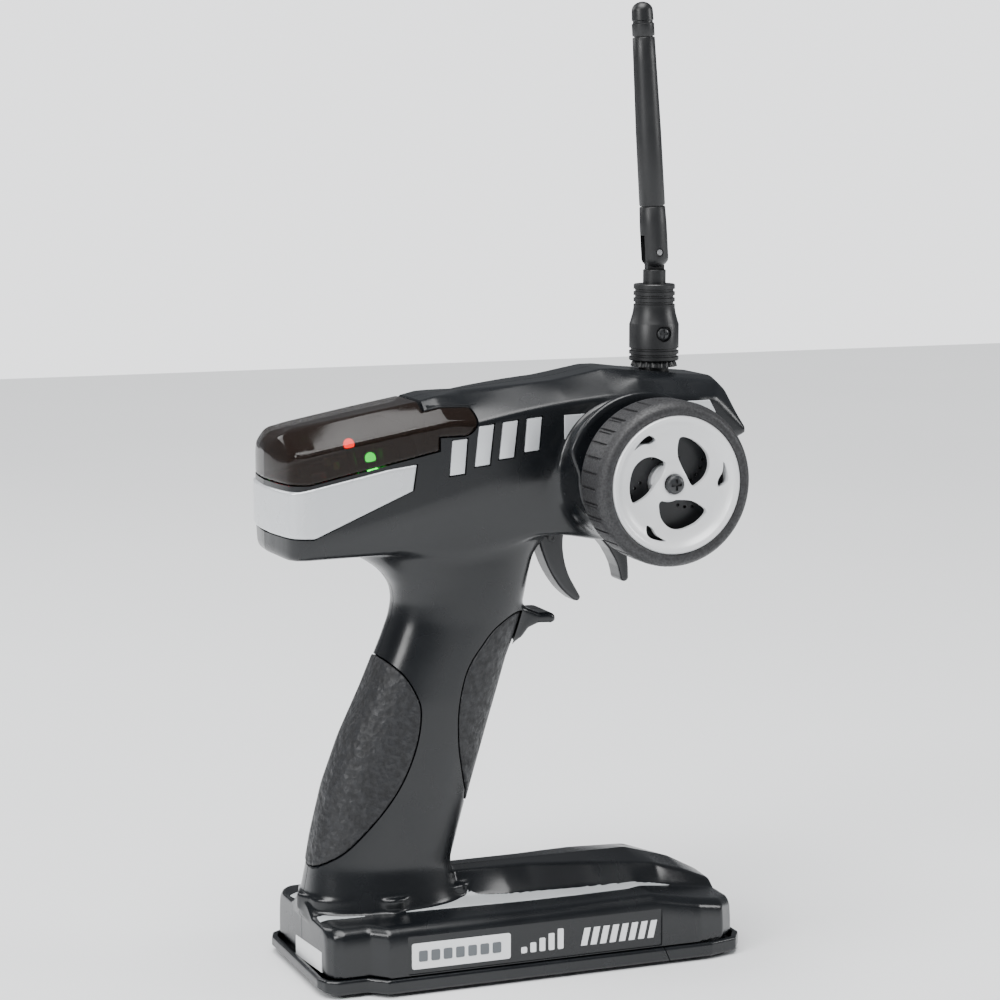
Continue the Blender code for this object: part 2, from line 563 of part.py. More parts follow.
def body_halves():
    """The left and right mouldings, with their pockets, windows and bosses."""
    blank = body_blank()
    cut(
        blank,
        slab("band_space", grown(BAND_OUTLINE, 0.0005)),
        grown_layer("rear_insert_space", REAR_INSERT),
        grown_layer("front_insert_space", FRONT_INSERT),
        rod("antenna_hole", (ANTENNA_X, 0, 0.1800), (ANTENNA_X, 0, 0.2000), 0.0053, BLACK),
    )
    for side, label in ((-1, "right"), (1, "left")):
        half = copy_of("body_half_" + label, blank)
        low, high = sorted((side * SPLIT, side * 0.0600))
        change(half, "INTERSECT", box("half_space_" + label, (-0.2, low, -0.1), (0.2, high, 0.4), BLACK))
        low, high = sorted((side * (EAR_INNER - GAP), side * 0.0300))
        cut(half, extruded("ear_space_" + label, EAR_SPACE, "Y", low, high, BLACK))
        low, high = sorted((side * 0.0125, side * (EAR_INNER - 2 * GAP)))
        join(half, box("ear_boss_" + label, (-0.0322, low, 0.1745), (-0.0150, high, 0.1866), BLACK))
        low, high = sorted((side * BOSS_LOW, side * BOSS_HIGH))
        join(half, box("trigger_boss_" + label, (TRIGGER_PIVOT.x - 0.0035, low, 0.1430),
                       (TRIGGER_PIVOT.x + 0.0035, high, TRIGGER_PIVOT.z + 0.0040), BLACK))
        cut(half, rod("trigger_pin_hole_" + label, TRIGGER_PIVOT + Vector((0, -0.0120, 0)),
                      TRIGGER_PIVOT + Vector((0, 0.0120, 0)), PIN_RADIUS + GAP / 2, BLACK, 12))
        low, high = sorted((side * 0.0185, side * 0.0300))
        for i in range(len(GILL_FEET)):
            cut(half, extruded("gill_hole_%d_%s" % (i, label), gill_outline(i, GAP), "Y", low, high, BLACK))
        screw_posts(half, side, label)
        if label == "right":
            cut(half, box("label_recess", (RECESS_LOW[0], -0.0400, RECESS_LOW[1]),
                          (RECESS_HIGH[0], RECESS_DEPTH - 0.0355, RECESS_HIGH[1]), BLACK))
        else:
            cut(half, rod("jack_hole", JACK - Vector((0, 0.0060, 0)), JACK + Vector((0, 0.0060, 0)),
                          0.0036 + GAP, BLACK, 20))
    bpy.data.objects.remove(blank)


def grown_layer(name, outline):
    return layer(name, grip_form, -0.0010, INSERT_DEPTH + GAP, grown(outline, GAP), BLACK)


def trims():
    """The band round the head's tail, and the four bright gills of each side on their backing plate."""
    layer("silver_band", head_form_whole, 0.0006, WALL, BAND_OUTLINE, SILVER)
    for side, label in ((-1, "right"), (1, "left")):
        low, high = sorted((side * 0.0181, side * 0.0193))
        plate = extruded("gill_trim_" + label, [(-0.0285, 0.1635), (0.0070, 0.1695), (0.0090, 0.1828),
                                                (-0.0160, 0.1802), (-0.0165, 0.1765), (-0.0280, 0.1760)],
                         "Y", low, high, SILVER)
        low, high = sorted((side * 0.0187, side * 0.0219))
        join(plate, *[extruded("gill_%d_%s" % (i, label), gill_outline(i), "Y", low, high, SILVER)
                      for i in range(len(GILL_FEET))])


def head_form_whole(name, look, inset):
    """The whole head, or its hollow where the inset is a wall's."""
    first, last = (None, None) if inset < WALL else (HEAD_INNER_REAR, 0.0740)
    return head_form(name, look, inset, first, last)


# ---------------------------------------------------------------- flip cover and control panel
def flip_cover():
    """Smoked cover with a skirt and two ears. Its origin is on its hinge axis."""
    cover = head_form("flip_cover", SMOKE, 0.0, None, -0.0170)
    front = [(COVER_FRONT, 0.1500), (0.0, 0.1500), (0.0, 0.2100), (COVER_FRONT, 0.2100)]
    ear_front = ([(-0.0303 - GAP, 0.1500), (0.0, 0.1500), (0.0, 0.2100), (COVER_PIVOT.x, 0.2100)]
                 + arc((COVER_PIVOT.x, COVER_PIVOT.z), COVER_EAR, 90, -90, 13)
                 + [(-0.0303 - GAP, COVER_PIVOT.z - COVER_EAR)])
    below = [(-0.0900, 0.1300), (0.0100, 0.1300), (0.0100, 0.1550), (-0.0303, 0.1730), (-0.0739, 0.1640),
             (-0.0900, 0.1640)]
    head_inside = head_form("cover_inside", SMOKE, COVER_WALL, -0.0787, -0.0100)
    change(head_inside, "DIFFERENCE", ear_block("ear_fill", EAR_INNER))
    cut(cover, head_inside, slab("cover_below", below), slab("cover_front", front, EAR_INNER),
        slab("cover_ear_front", ear_front))
    for side in (-1, 1):
        cut(cover, rod("ear_hole_%d" % side, (COVER_PIVOT.x, side * 0.0130, COVER_PIVOT.z),
                       (COVER_PIVOT.x, side * 0.0190, COVER_PIVOT.z), 0.0018, SMOKE, 16))
    place_origin(cover, COVER_PIVOT)
    return cover


def ear_block(name, inner):
    """The two blocks at the sides that stay solid round the hinge."""
    made = box(name, (-0.0300, -0.0300, 0.1760), (0.0100, 0.0300, 0.1960), SMOKE)
    return cut(made, box(name + "_gap", (-0.0400, -inner, 0.1700), (0.0200, inner, 0.2000), SMOKE))


PANEL_FRAME = Matrix.Translation(PANEL_POINT) @ Matrix.Rotation(-PANEL_TILT, 4, "Y")


def on_panel(x, y, height):
    """A point given along the panel from its reference point, across it, and above its face."""
    return PANEL_FRAME @ Vector((x - PANEL_POINT.x, y, height))


def panel_box(name, low, high, look):
    """A block square to the panel: x and y on the panel's face, z above it."""
    made = box(name, (low[0] - PANEL_POINT.x, low[1], low[2]), (high[0] - PANEL_POINT.x, high[1], high[2]),
               look)
    made.matrix_world = PANEL_FRAME
    return made


def panel_rod(name, x, y, low, high, radius, look, sides=20, top_radius=None):
    return rod(name, on_panel(x, y, low), on_panel(x, y, high), radius, look, sides, top_radius)


KNOBS = (("steering_trim_knob", -0.0440, -0.0110), ("throttle_trim_knob", -0.0440, 0.0000),
         ("dual_rate_knob", -0.0440, 0.0110))
KNOB_RADIUS, KNOB_HEIGHT, KNOB_STEM = 0.0040, 0.0062, 0.0017
REVERSE_SWITCHES = (("steering_reverse_switch", -0.0575, 0.0020),
                    ("throttle_reverse_switch", -0.0575, 0.0110))
REVERSE_TRAVEL, POWER_TRAVEL = 0.0026, 0.0040
POWER_SWITCH = (-0.0680, 0.0040)
BIND_BUTTON = (-0.0670, -0.0095)
BIND_RADIUS = 0.0024
LAMPS = (("power_lamp", -0.0565, -0.0140, 0.0118, RED), ("status_lamp", -0.0505, -0.0140, 0.0058, GREEN))
LAMP_RADIUS = 0.0015
PANEL_THICK = 0.0016
BOARD_TOP = -0.0052  # height of the circuit board's upper face, measured from the panel's
# Chips on the board: x, y and their half length and half width.
CHIPS = ((-0.0550, 0.0, 0.0050, 0.0050), (-0.0660, 0.0090, 0.0030, 0.0040),
         (-0.0440, -0.0070, 0.0035, 0.0025))


def control_panel():
    panel = panel_box("control_panel", (-0.0735, -0.0185, -PANEL_THICK), (-0.0360, 0.0185, 0), BLACK)
    join(panel, panel_box("bulkhead_foot", (-0.0376, -0.0185, -0.0008), (-0.0362, 0.0185, 0.0060), BLACK),
         panel_box("bulkhead", (-0.0376, -0.0135, -0.0008), (-0.0362, 0.0135, 0.0118), BLACK))
    holes = [panel_rod(name + "_hole", x, y, -0.0040, 0.0020, KNOB_STEM + 0.0004, BLACK, 16)
             for name, x, y in KNOBS]
    holes += [panel_rod(name + "_hole", x, y, -0.0040, 0.0020, LAMP_RADIUS + GAP, BLACK, 12)
              for name, x, y, _, _ in LAMPS]
    holes += [panel_box(name + "_slot", (x - 0.0014, y - 0.0014, -0.0040),
                        (x + 0.0014 + REVERSE_TRAVEL, y + 0.0014, 0.0020), BLACK)
              for name, x, y in REVERSE_SWITCHES]
    x, y = POWER_SWITCH
    holes.append(panel_box("power_slot", (x - 0.0019, y - 0.0024, -0.0040),
                           (x + 0.0019, y + 0.0024 + POWER_TRAVEL, 0.0020), BLACK))
    x, y = BIND_BUTTON
    holes.append(panel_rod("bind_hole", x, y, -0.0040, 0.0020, BIND_RADIUS + GAP, BLACK, 16))
    cut(panel, *holes)
    return panel


def panel_controls():
    """Trim knobs, slide switches, bind button and lamps, each standing through the panel."""
    for name, x, y in KNOBS:
        knob = panel_rod(name, x, y, GAP, KNOB_HEIGHT, KNOB_RADIUS, BLACK, 20, KNOB_RADIUS * 0.86)
        join(knob, panel_rod(name + "_stem", x, y, -0.0042, 0.0020, KNOB_STEM, BLACK, 12))
        cut(knob, panel_box(name + "_mark", (x + 0.0004, y - 0.0004, KNOB_HEIGHT - 0.0008),
                            (x + 0.0060, y + 0.0004, KNOB_HEIGHT + 0.0020), BLACK))
        place_origin(knob, on_panel(x, y, 0))
    for name, x, y in REVERSE_SWITCHES:
        switch = panel_box(name, (x - 0.0010, y - 0.0010, -0.0042), (x + 0.0010, y + 0.0010, 0.0026), WHITE)
        place_origin(switch, on_panel(x, y, 0))
    x, y = POWER_SWITCH
    switch = panel_box("power_switch", (x - 0.0015, y - 0.0020, -0.0042), (x + 0.0015, y + 0.0020, 0.0034),
                       BLACK)
    place_origin(switch, on_panel(x, y, 0))
    x, y = BIND_BUTTON
    panel_rod("bind_button", x, y, -0.0036, 0.0022, BIND_RADIUS, WHITE, 20)
    for name, x, y, height, look in LAMPS:
        lamp = panel_rod(name, x, y, -0.0047, 0.0024, LAMP_RADIUS, look, 12)
        join(lamp, panel_rod(name + "_dome", x, y, 0.0020, height, LAMP_RADIUS * 0.98, look, 12,
                             LAMP_RADIUS * 0.6))


def circuit_board():
    board = panel_box("circuit_board", (-0.0720, -0.0165, BOARD_TOP - 0.0014), (-0.0380, 0.0165, BOARD_TOP),
                      BOARD)
    for i, (x, y, a, b) in enumerate(CHIPS):
        join(board, panel_box("chip_%d" % i, (x - a, y - b, BOARD_TOP - 0.0034),
                              (x + a, y + b, BOARD_TOP - 0.0008), BLACK))
    return board


# ---------------------------------------------------------------- steering wheel
def at_wheel(distance):
    """A point on the steering axis, by its distance from the middle plane towards the wheel."""
    return Vector((WHEEL.x, -distance, WHEEL.z))


def on_wheel(name, profile, look, steps=36, closed=True):
    """A turned piece on the steering axis; heights are distances from the middle plane."""
    return turned(name, profile, at_wheel(0), (0, -1, 0), look, steps, closed)


# Openings of the rim, each point as mm from the axis and degrees: one beside a spoke, one near the edge.
BEAN = ((14.9, -159), (15.2, -174), (15.0, 170), (14.7, 156), (13.5, 142), (11.4, 129), (8.5, 116),
        (6.8, 112), (5.1, 137), (6.0, 180), (8.7, -161), (12.1, -157))
SLIT = ((18.0, 141), (18.4, 132), (18.3, 120), (15.8, 114), (15.3, 121), (17.0, 131))
SPOKES = 3


def wheel_outline(polar, turn):
    """Polar points as a side-view outline about the steering axis."""
    return [(WHEEL.x + r / 1000 * math.cos(math.radians(a + turn)),
             WHEEL.z + r / 1000 * math.sin(math.radians(a + turn))) for r, a in polar]


def steering_wheel():
    bore = SHAFT_RADIUS + 0.0002
    rim = on_wheel("wheel_rim", [
        (0.0017, 0.0600), (0.0048, 0.0602), (0.0195, 0.0612), (0.0204, WHEEL_FACE), (RIM_RADIUS, WHEEL_FACE),
        (RIM_RADIUS, 0.0450), (0.0203, 0.0450), (0.0203, 0.0585), (0.0062, 0.0576), (0.0058, 0.0480),
        (bore, 0.0480), (bore, 0.0578), (0.0017, 0.0578)], SILVER)
    for i in range(SPOKES):
        turn = 360 / SPOKES * i
        for label, polar in (("bean", BEAN), ("slit", SLIT)):
            cut(rim, extruded("%s_%d" % (label, i), wheel_outline(polar, turn), "Y", -0.0660, -0.0560,
                              SILVER))
    place_origin(rim, at_wheel(0.0600))
    on_wheel("tyre", [
        (RIM_RADIUS + GAP, 0.0622), (0.0236, WHEEL_FACE), (0.0252, 0.0619), (0.0261, 0.0602),
        (TYRE_RADIUS, 0.0585),
        (TYRE_RADIUS - 0.0003, 0.0480), (0.0256, 0.0456), (0.0245, 0.0432), (0.0232, 0.0425),
        (RIM_RADIUS + GAP, 0.0432)], TREAD)
    on_wheel("brake_disc", [(0.0199, 0.0535), (0.0199, 0.0520), (0.0062, 0.0520), (0.0062, 0.0535)], GREY)
    shaft = rod("steering_shaft", at_wheel(0.0125), at_wheel(0.0574), SHAFT_RADIUS, STEEL, 24)
    cut(shaft, rod("shaft_thread", at_wheel(0.0470), at_wheel(0.0600), 0.0014, STEEL, 12))
    screw = rod("wheel_screw", at_wheel(0.0605), at_wheel(0.0622), 0.0030, GREY, 24)
    join(screw, rod("wheel_screw_shank", at_wheel(0.0490), at_wheel(0.0610), 0.0011, GREY, 12))
    for a, b in ((0.0018, 0.0005), (0.0005, 0.0018)):
        cut(screw, box("wheel_screw_cross_%d" % (a * 1e4), (WHEEL.x - a, -0.0640, WHEEL.z - b),
                       (WHEEL.x + a, -0.0614, WHEEL.z + b), GREY))


def steering_gear():
    """What carries and centres the steering shaft inside the cowl."""
    bush_top, flange = BARREL_FACE + 0.0018, 0.0085
    on_wheel("steering_bush", [(SHAFT_RADIUS + 0.0001, bush_top), (flange, bush_top),
                               (flange, BARREL_FACE + GAP), (BUSH_RADIUS, BARREL_FACE + GAP),
                               (BUSH_RADIUS, 0.0310), (SHAFT_RADIUS + 0.0001, 0.0310)], WHITE, 32)
    bore = SHAFT_RADIUS + GAP
    on_wheel("steering_potentiometer", [(0, 0.0115), (bore, 0.0115), (bore, 0.0165), (0.0070, 0.0165),
                                        (0.0070, 0.0150), (0.0085, 0.0150), (0.0085, 0.0090), (0, 0.0090)],
             STEEL, 24, False)
    wire("steering_spring", coil(at_wheel(0.0195), (0, -1, 0), 0.0060, 0.0090, 3, 10), 0.00045, STEEL)


def coil(start, direction, radius, length, turns, per_turn):
    """Points along a helix that starts at a point and runs along a direction."""
    turn_to, count, step = towards(direction), turns * per_turn, 2 * math.pi / per_turn
    return [Vector(start) + turn_to @ Vector((radius * math.cos(i * step), radius * math.sin(i * step),
                                              length * i / count)) for i in range(count + 1)]


# ---------------------------------------------------------------- throttle trigger
TRIGGER_OUTLINE = (
    [(0.0200, 0.1510), (0.0140, 0.1510), (0.0116, 0.1480), (0.0106, 0.1405), (0.0112, 0.1370),
     (0.0134, 0.1310), (0.0160, 0.1262), (0.0193, 0.1218), (0.0230, 0.1186)]
    + arc((0.0243, 0.1194), 0.0012, 230, 380, 6)
    + [(0.0236, 0.1230), (0.0216, 0.1266), (0.0202, 0.1305), (0.0194, 0.1345), (0.0192, 0.1390)]
)


def throttle_trigger():
    trigger = extruded("trigger", TRIGGER_OUTLINE, "Y", -TRIGGER_HALF, TRIGGER_HALF, GREY)
    side = Vector((0, 0.0200, 0))
    cut(trigger, rod("trigger_bore", TRIGGER_PIVOT - side, TRIGGER_PIVOT + side, PIN_RADIUS + GAP, GREY, 16))
    place_origin(trigger, TRIGGER_PIVOT)
    rod("trigger_pin", TRIGGER_PIVOT - Vector((0, 0.0104, 0)), TRIGGER_PIVOT + Vector((0, 0.0112, 0)),
        PIN_RADIUS, STEEL, 16)
    wire("trigger_spring", coil(TRIGGER_PIVOT + Vector((0, 0.0092, 0)), (0, 1, 0), 0.0023, 0.0024, 3, 10),
         0.00035, STEEL)
    pot = rod("throttle_potentiometer", TRIGGER_PIVOT - Vector((0, 0.0126, 0)),
              TRIGGER_PIVOT - Vector((0, 0.0088, 0)), 0.0024, BLACK, 20)
    cut(pot, rod("throttle_pot_bore", TRIGGER_PIVOT - Vector((0, 0.0108, 0)), TRIGGER_PIVOT,
                 PIN_RADIUS + GAP, BLACK, 16))


# ---------------------------------------------------------------- antenna
def leaned(shape):
    """Turns a piece of the mast about the hinge pin to its rest angle, with its origin on the pin."""
    pin = Vector((ANTENNA_X, 0, ANTENNA_PIN_Z))
    place_origin(shape, pin)
    lean = Matrix.Translation(pin) @ Matrix.Rotation(-ANTENNA_LEAN, 4, "Y") @ Matrix.Translation(-pin)
    shape.matrix_world = lean @ shape.matrix_world
    return shape


def antenna():
    foot = Vector((ANTENNA_X, 0, 0))
    up = (0, 0, 1)
    pin_z = ANTENNA_PIN_Z
    turned("antenna_socket", [(0.0022, 0.1970), (0.0074, 0.1970), (0.0078, 0.1953), (0.0050, 0.1951),
                              (0.0050, 0.1880), (0.0022, 0.1880)], foot, up, BLACK, 24, True)
    swivel = turned("antenna_swivel", [
        (0, 0.2274), (0.0038, 0.2274), (0.0038, 0.2227), (0.0069, 0.2227), (0.0069, 0.2150), (0.0072, 0.2130),
        (0.0083, 0.2095), (0.0083, 0.2015), (0.0078, 0.2012), (0.0083, 0.2006), (0.0083, 0.1992),
        (0.0078, 0.1988), (0.0083, 0.1982), (0.0083, 0.1973), (0.0019, 0.1973), (0.0019, 0.1900),
        (0, 0.1900)], foot, up, BLACK, 24)
    tongue = ([(ANTENNA_X - 0.0030, 0.2260), (ANTENNA_X + 0.0030, 0.2260)]
              + arc((ANTENNA_X, pin_z), 0.0030, 0, 180, 9))
    join(swivel, extruded("antenna_tongue", tongue, "Y", -0.0014, 0.0014, BLACK))
    side = Vector((0, 0.0046, 0))
    pin = Vector((ANTENNA_X, 0, pin_z))
    cut(swivel, rod("tongue_bore", pin - side, pin + side, 0.0013, BLACK, 12))
    place_origin(rod("antenna_hinge_pin", pin - side * 0.9, pin + side * 0.9, 0.0010, STEEL, 12), pin)
    knuckle = turned("antenna_knuckle", [
        (0, pin_z + 0.0151), (0.0043, pin_z + 0.0151), (0.0045, pin_z + 0.0090), (0.0045, pin_z - 0.0028),
        (0.0034, pin_z - 0.0041), (0.0018, pin_z - 0.0050), (0, pin_z - 0.0053)], foot, up, BLACK, 24)
    cut(knuckle, box("knuckle_slot", (ANTENNA_X - 0.0100, -0.0017, pin_z - 0.0100),
                     (ANTENNA_X + 0.0034, 0.0017, pin_z + 0.0058), BLACK),
        rod("knuckle_bore", pin - side * 2, pin + side * 2, 0.0013, BLACK, 12))
    leaned(knuckle)
    top = pin_z + ANTENNA_LENGTH
    leaned(turned("antenna_mast", [(0, top - 0.0115), (0.0037, top - 0.0115), (0.0042, pin_z + 0.0400),
                                   (0.0043, pin_z + 0.0154), (0, pin_z + 0.0154)], foot, up, RUBBER, 24))
    leaned(turned("antenna_cap", [(0, top), (0.0014, top - 0.0003), (0.0027, top - 0.0012),
                                  (0.0035, top - 0.0028), (0.0037, top - 0.0112), (0, top - 0.0112)],
                  foot, up, RUBBER, 24))


# ---------------------------------------------------------------- battery base
DOOR_EDGE = ((DOOR_SPLIT + 0.0025, -0.0010), (DOOR_SPLIT - 0.0010, TRAY_TOP + 0.0010))
TRAY_FLOOR_LOW, TRAY_FLOOR_HIGH = 0.0012, 0.0028


def tray(name, outline):
    """The part of the bottom tray inside a side-view outline: a floor with a rim."""
    made = extruded(name, both_sides(TRAY_PLAN), "Z", TRAY_FLOOR_LOW, TRAY_TOP, BLACK)
    hollow = [(x * 0.972, y - 0.0020) for x, y in TRAY_PLAN]
    cut(made, extruded(name + "_hollow", both_sides(hollow), "Z", TRAY_FLOOR_HIGH, 0.0200, BLACK),
        extruded(name + "_tail", [(-0.0800, -0.0010), (-0.0690, -0.0010), (-0.0690, TRAY_FLOOR_LOW),
                                  (-0.0745, TRAY_FLOOR_LOW + 0.0018), (-0.0800, TRAY_FLOOR_LOW + 0.0018)],
                 "Y", -0.0500, 0.0500, BLACK))
    change(made, "INTERSECT", extruded(name + "_extent", outline, "Y", -0.0500, 0.0500, BLACK))
    return made


def battery_base():
    (x_low, z_low), (x_high, z_high) = DOOR_EDGE
    tray("battery_door", [(-0.0900, z_low), (x_low, z_low), (x_high, z_high), (-0.0900, z_high)])
    tray("base_front_plate", [(x_low + GAP, z_low), (0.0900, z_low), (0.0900, z_high),
                              (x_high + GAP, z_high)])
    middle = CELL_MIDDLE_X
    reach = CELL_PITCH * CELL_COUNT / 2 + 0.0005
    holder = box("battery_holder", (middle - reach, -0.0272, TRAY_FLOOR_HIGH + 0.0004),
                 (middle + reach, 0.0272, 0.0125), BLACK)
    for i in range(CELL_COUNT):
        x = middle + CELL_PITCH * (i - (CELL_COUNT - 1) / 2)
        cut(holder, rod("cell_bay_%d" % i, (x, -0.0252, CELL_Z), (x, 0.0252, CELL_Z), CELL_RADIUS + 0.0002,
                        BLACK, 24))
        side = 1 if i % 2 else -1
        cell = rod("battery_cell_%d" % (i + 1), (x, -side * CELL_LENGTH / 2, CELL_Z),
                   (x, side * (CELL_LENGTH / 2 - 0.0012), CELL_Z), CELL_RADIUS, CELL, 20)
        join(cell, rod("cell_cap_%d" % (i + 1), (x, 0, CELL_Z), (x, side * CELL_LENGTH / 2, CELL_Z), 0.0026,
                       STEEL, 12))
    for side, label in ((-1, "right"), (1, "left")):
        low, high = sorted((side * 0.0245, side * 0.0252))
        cut(holder, box("contact_slot_" + label, (middle - reach + 0.0010, low, 0.0042),
                        (middle + reach - 0.0010, high, 0.0300), BLACK))
        low, high = sorted((side * 0.02475, side * 0.02505))
        box("battery_contacts_" + label, (middle - reach + 0.0014, low, 0.0046),
            (middle + reach - 0.0014, high, 0.0165), BRASS)


FEET = ((-0.0580, -0.0240), (-0.0580, 0.0240), (0.0560, -0.0270), (0.0560, 0.0270))


def small_pieces():
    extruded("trigger_guard", GUARD_OUTLINE, "Y", -GUARD_HALF, GUARD_HALF, BLACK)
    for i, (x, y) in enumerate(FEET):
        rod("foot_%d" % (i + 1), (x, y, 0), (x, y, TRAY_FLOOR_LOW - GAP), 0.0050, RUBBER, 24)
    jack = rod("charge_jack", JACK + Vector((0, -0.0072, 0)), JACK, 0.0036, BLACK, 20)
    box("side_label", (LABEL_LOW[0], -0.0354, LABEL_LOW[1]),
        (LABEL_HIGH[0], RECESS_DEPTH - GAP - 0.0355, LABEL_HIGH[1]), WHITE)
    deep = Vector((0, 0.0040, 0))
    cut(jack, rod("jack_bore", JACK - deep, JACK + deep, 0.0022, BLACK, 16))


body_halves()
trims()
flip_cover()
control_panel()
panel_controls()
circuit_board()
steering_wheel()
steering_gear()
throttle_trigger()
antenna()
layer("grip_insert_rear", grip_form, -INSERT_PROUD, INSERT_DEPTH, REAR_INSERT, RUBBER)
layer("grip_insert_front", grip_form, -INSERT_PROUD, INSERT_DEPTH, FRONT_INSERT, RUBBER)
battery_base()
small_pieces()
body_screws()
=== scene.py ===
"""Looks of a pistol-grip radio transmitter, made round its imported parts.

Row frame: metres, +Z up, +X forwards, +Y to the user's left, wheel at -Y. The mouldings are distance
fields on a grid, blended where they meet, and meshed; windows, pockets and seams are then cut.
"""

import math

import bmesh
import bpy
import numpy as np
from mathutils import Matrix, Vector


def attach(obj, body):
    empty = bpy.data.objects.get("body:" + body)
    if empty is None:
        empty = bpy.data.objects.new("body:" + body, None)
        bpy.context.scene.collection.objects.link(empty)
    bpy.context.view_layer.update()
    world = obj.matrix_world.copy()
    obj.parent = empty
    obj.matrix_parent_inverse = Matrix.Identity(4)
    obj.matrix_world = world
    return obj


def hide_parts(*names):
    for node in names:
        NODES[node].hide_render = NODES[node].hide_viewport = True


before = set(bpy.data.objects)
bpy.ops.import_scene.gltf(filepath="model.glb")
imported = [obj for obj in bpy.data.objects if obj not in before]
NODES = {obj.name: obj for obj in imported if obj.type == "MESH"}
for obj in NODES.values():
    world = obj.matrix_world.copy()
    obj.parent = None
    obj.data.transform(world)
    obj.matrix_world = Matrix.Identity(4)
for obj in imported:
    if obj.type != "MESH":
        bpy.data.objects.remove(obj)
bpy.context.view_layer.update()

# ---------------- dimensions, as in the parts
WALL, GAP, SPLIT = 0.0022, 0.0003, 0.00015
WHEEL = Vector((0.0334, 0, 0.1640))
TYRE_RADIUS, RIM_RADIUS, WHEEL_FACE = 0.0263, 0.0219, 0.0627
BARREL_RADIUS, NECK_RADIUS, BARREL_FACE = 0.0268, 0.0226, 0.0370
TRIGGER_PIVOT = Vector((0.0173, 0, 0.1476))
COVER_PIVOT = Vector((-0.0230, 0, 0.1828))
COVER_WALL, COVER_EAR, COVER_FRONT, EAR_INNER = 0.0016, 0.0055, -0.0340, 0.0150
ANTENNA_X, ANTENNA_PIN_Z, ANTENNA_LENGTH = 0.0535, 0.2332, 0.0820
ANTENNA_LEAN = math.radians(3.7)
PANEL_TILT = math.radians(11.0)
PANEL_POINT = Vector((-0.0500, 0, 0.1670))
BASE_REAR, BASE_FRONT, TRAY_TOP, DOOR_SPLIT = -0.0712, 0.0712, 0.0060, 0.0430
BASE_FLOOR = TRAY_TOP + GAP


def mm(*points):
    """Points given in millimetres, as tuples in metres."""
    return tuple(tuple(round(v / 1000, 6) for v in point) for point in points)


CROWN_LINE = mm((-82.6, 172.5), (-81.2, 176), (-79.6, 178.3), (-77.5, 179.8), (-74, 180.8), (-50, 185),
                (-34, 187.7), (-28, 189.1), (-12, 190.7), (13, 193), (19, 194), (30, 196), (35, 196),
                (44, 194.9), (69.5, 192.6), (73, 189), (78.7, 177.5))
EDGE_LINE = mm((-82.6, 172.2), (-81.2, 174.2), (-78, 176.5), (-72, 177.9), (-28, 185.9), (-18, 185.7),
               (13, 190.5), (34, 192.8), (40, 193.6), (69, 191.1), (72.5, 187.8), (78.7, 176.8))
SHOULDER_LINE = mm((-82.6, 171.5), (-78, 174.2), (-18.2, 183.4), (10.5, 186.2), (28.4, 188), (67, 186.2),
                   (78.7, 175.5))
CREASE_LINE = mm((-82.6, 144), (-74, 145), (-56, 148.5), (-37.5, 153.2), (6.7, 164.8), (40, 172),
                 (78.7, 173.5))
UNDERSIDE_LINE = mm((-82.6, 141), (-79, 139.6), (-20, 139.2), (6, 142.4), (30, 142.4), (42, 144),
                    (56, 154), (75.9, 170.4), (78.7, 173))
HEAD_PLAN = mm((-82.6, 0.6), (-81.4, 11), (-79.8, 18.5), (-78.2, 20.5), (-75.7, 21.6), (-72, 22), (60, 22),
               (78.7, 19))
HEAD_LOWER_PLAN = mm((-82.6, 0.5), (-81.4, 10), (-79.8, 16.5), (-77.5, 19.2), (-74, 20), (-65, 19),
                     (-40, 16.5), (30, 15), (78.7, 15))
CROWN_HALF, EDGE_HALF = 0.0100, 0.0160
GRIP_REAR = mm((20, -72), (27, -70.5), (34.4, -69.1), (46.3, -66.9), (62, -63), (77.5, -57.1),
               (92.9, -49.6), (108.4, -42.9), (116.2, -39.9), (122, -38.8), (127, -39.6), (132.3, -43.5),
               (138, -52), (145, -60), (152, -64))
GRIP_FRONT = mm((20, -15), (27, -19), (35.1, -20.9), (59, -14.3), (82.7, -7.3), (102.5, -1.3), (110.3, 2),
                (119.1, 4.8), (129, 6.9), (135.6, 8.7), (142, 14), (152, 24))
GRIP_HALF = mm((20, 19), (28, 17), (36, 15.2), (60, 14.8), (90, 15.2), (115, 14.6), (129, 15), (138, 15.3),
               (145, 14.5), (152, 14))
ROOF_LINE = mm((-71.2, 24.5), (-68, 25.2), (-50, 28), (-30, 30.5), (-20, 31.2), (44, 31.2), (60, 26.5),
               (71.2, 20.5))
RIDGE_LINE = mm((-71.2, 24.3), (-68, 25), (-50, 27.8), (-30, 30.3), (-20, 31), (5, 31), (27, 30.3),
                (49, 28.5), (60, 24.8), (71.2, 20))
RIDGE_TOP = mm((-71.2, 6.2), (5, 6.6), (27, 10.5), (49, 13.8), (71.2, 10))
RIDGE_FOOT = mm((-71.2, 10.5), (-19.5, 9.2), (-11.6, 11.3), (-3.4, 13.7), (7.8, 14.9), (18.9, 16),
                (30.2, 17), (41.9, 17.7), (54, 17.4), (71.2, 13))
LEDGE_LINE = mm((-71.2, 21.5), (-68, 22.5), (40, 24), (71.2, 18))
BASE_PLAN = mm((-71.2, 25.5), (-69.5, 28.8), (-66.5, 30.5), (-58, 30.5), (-53, 35.5), (56, 35.5),
               (65, 33.5), (71.2, 27))
TRAY_PLAN = mm((-74, 25), (-72.5, 29), (-69, 31.5), (-59, 31.5), (-53.5, 36.2), (60, 36.2), (70, 33.5),
               (74, 27))
TRAY_LOW, TRAY_FLOOR = 0.0012, 0.0028


def arc(centre, radius, start, end, count):
    """Points on an arc, with its ends, angles in degrees."""
    angles = (math.radians(start + (end - start) * i / (count - 1)) for i in range(count))
    return [(centre[0] + radius * math.cos(a), centre[1] + radius * math.sin(a)) for a in angles]


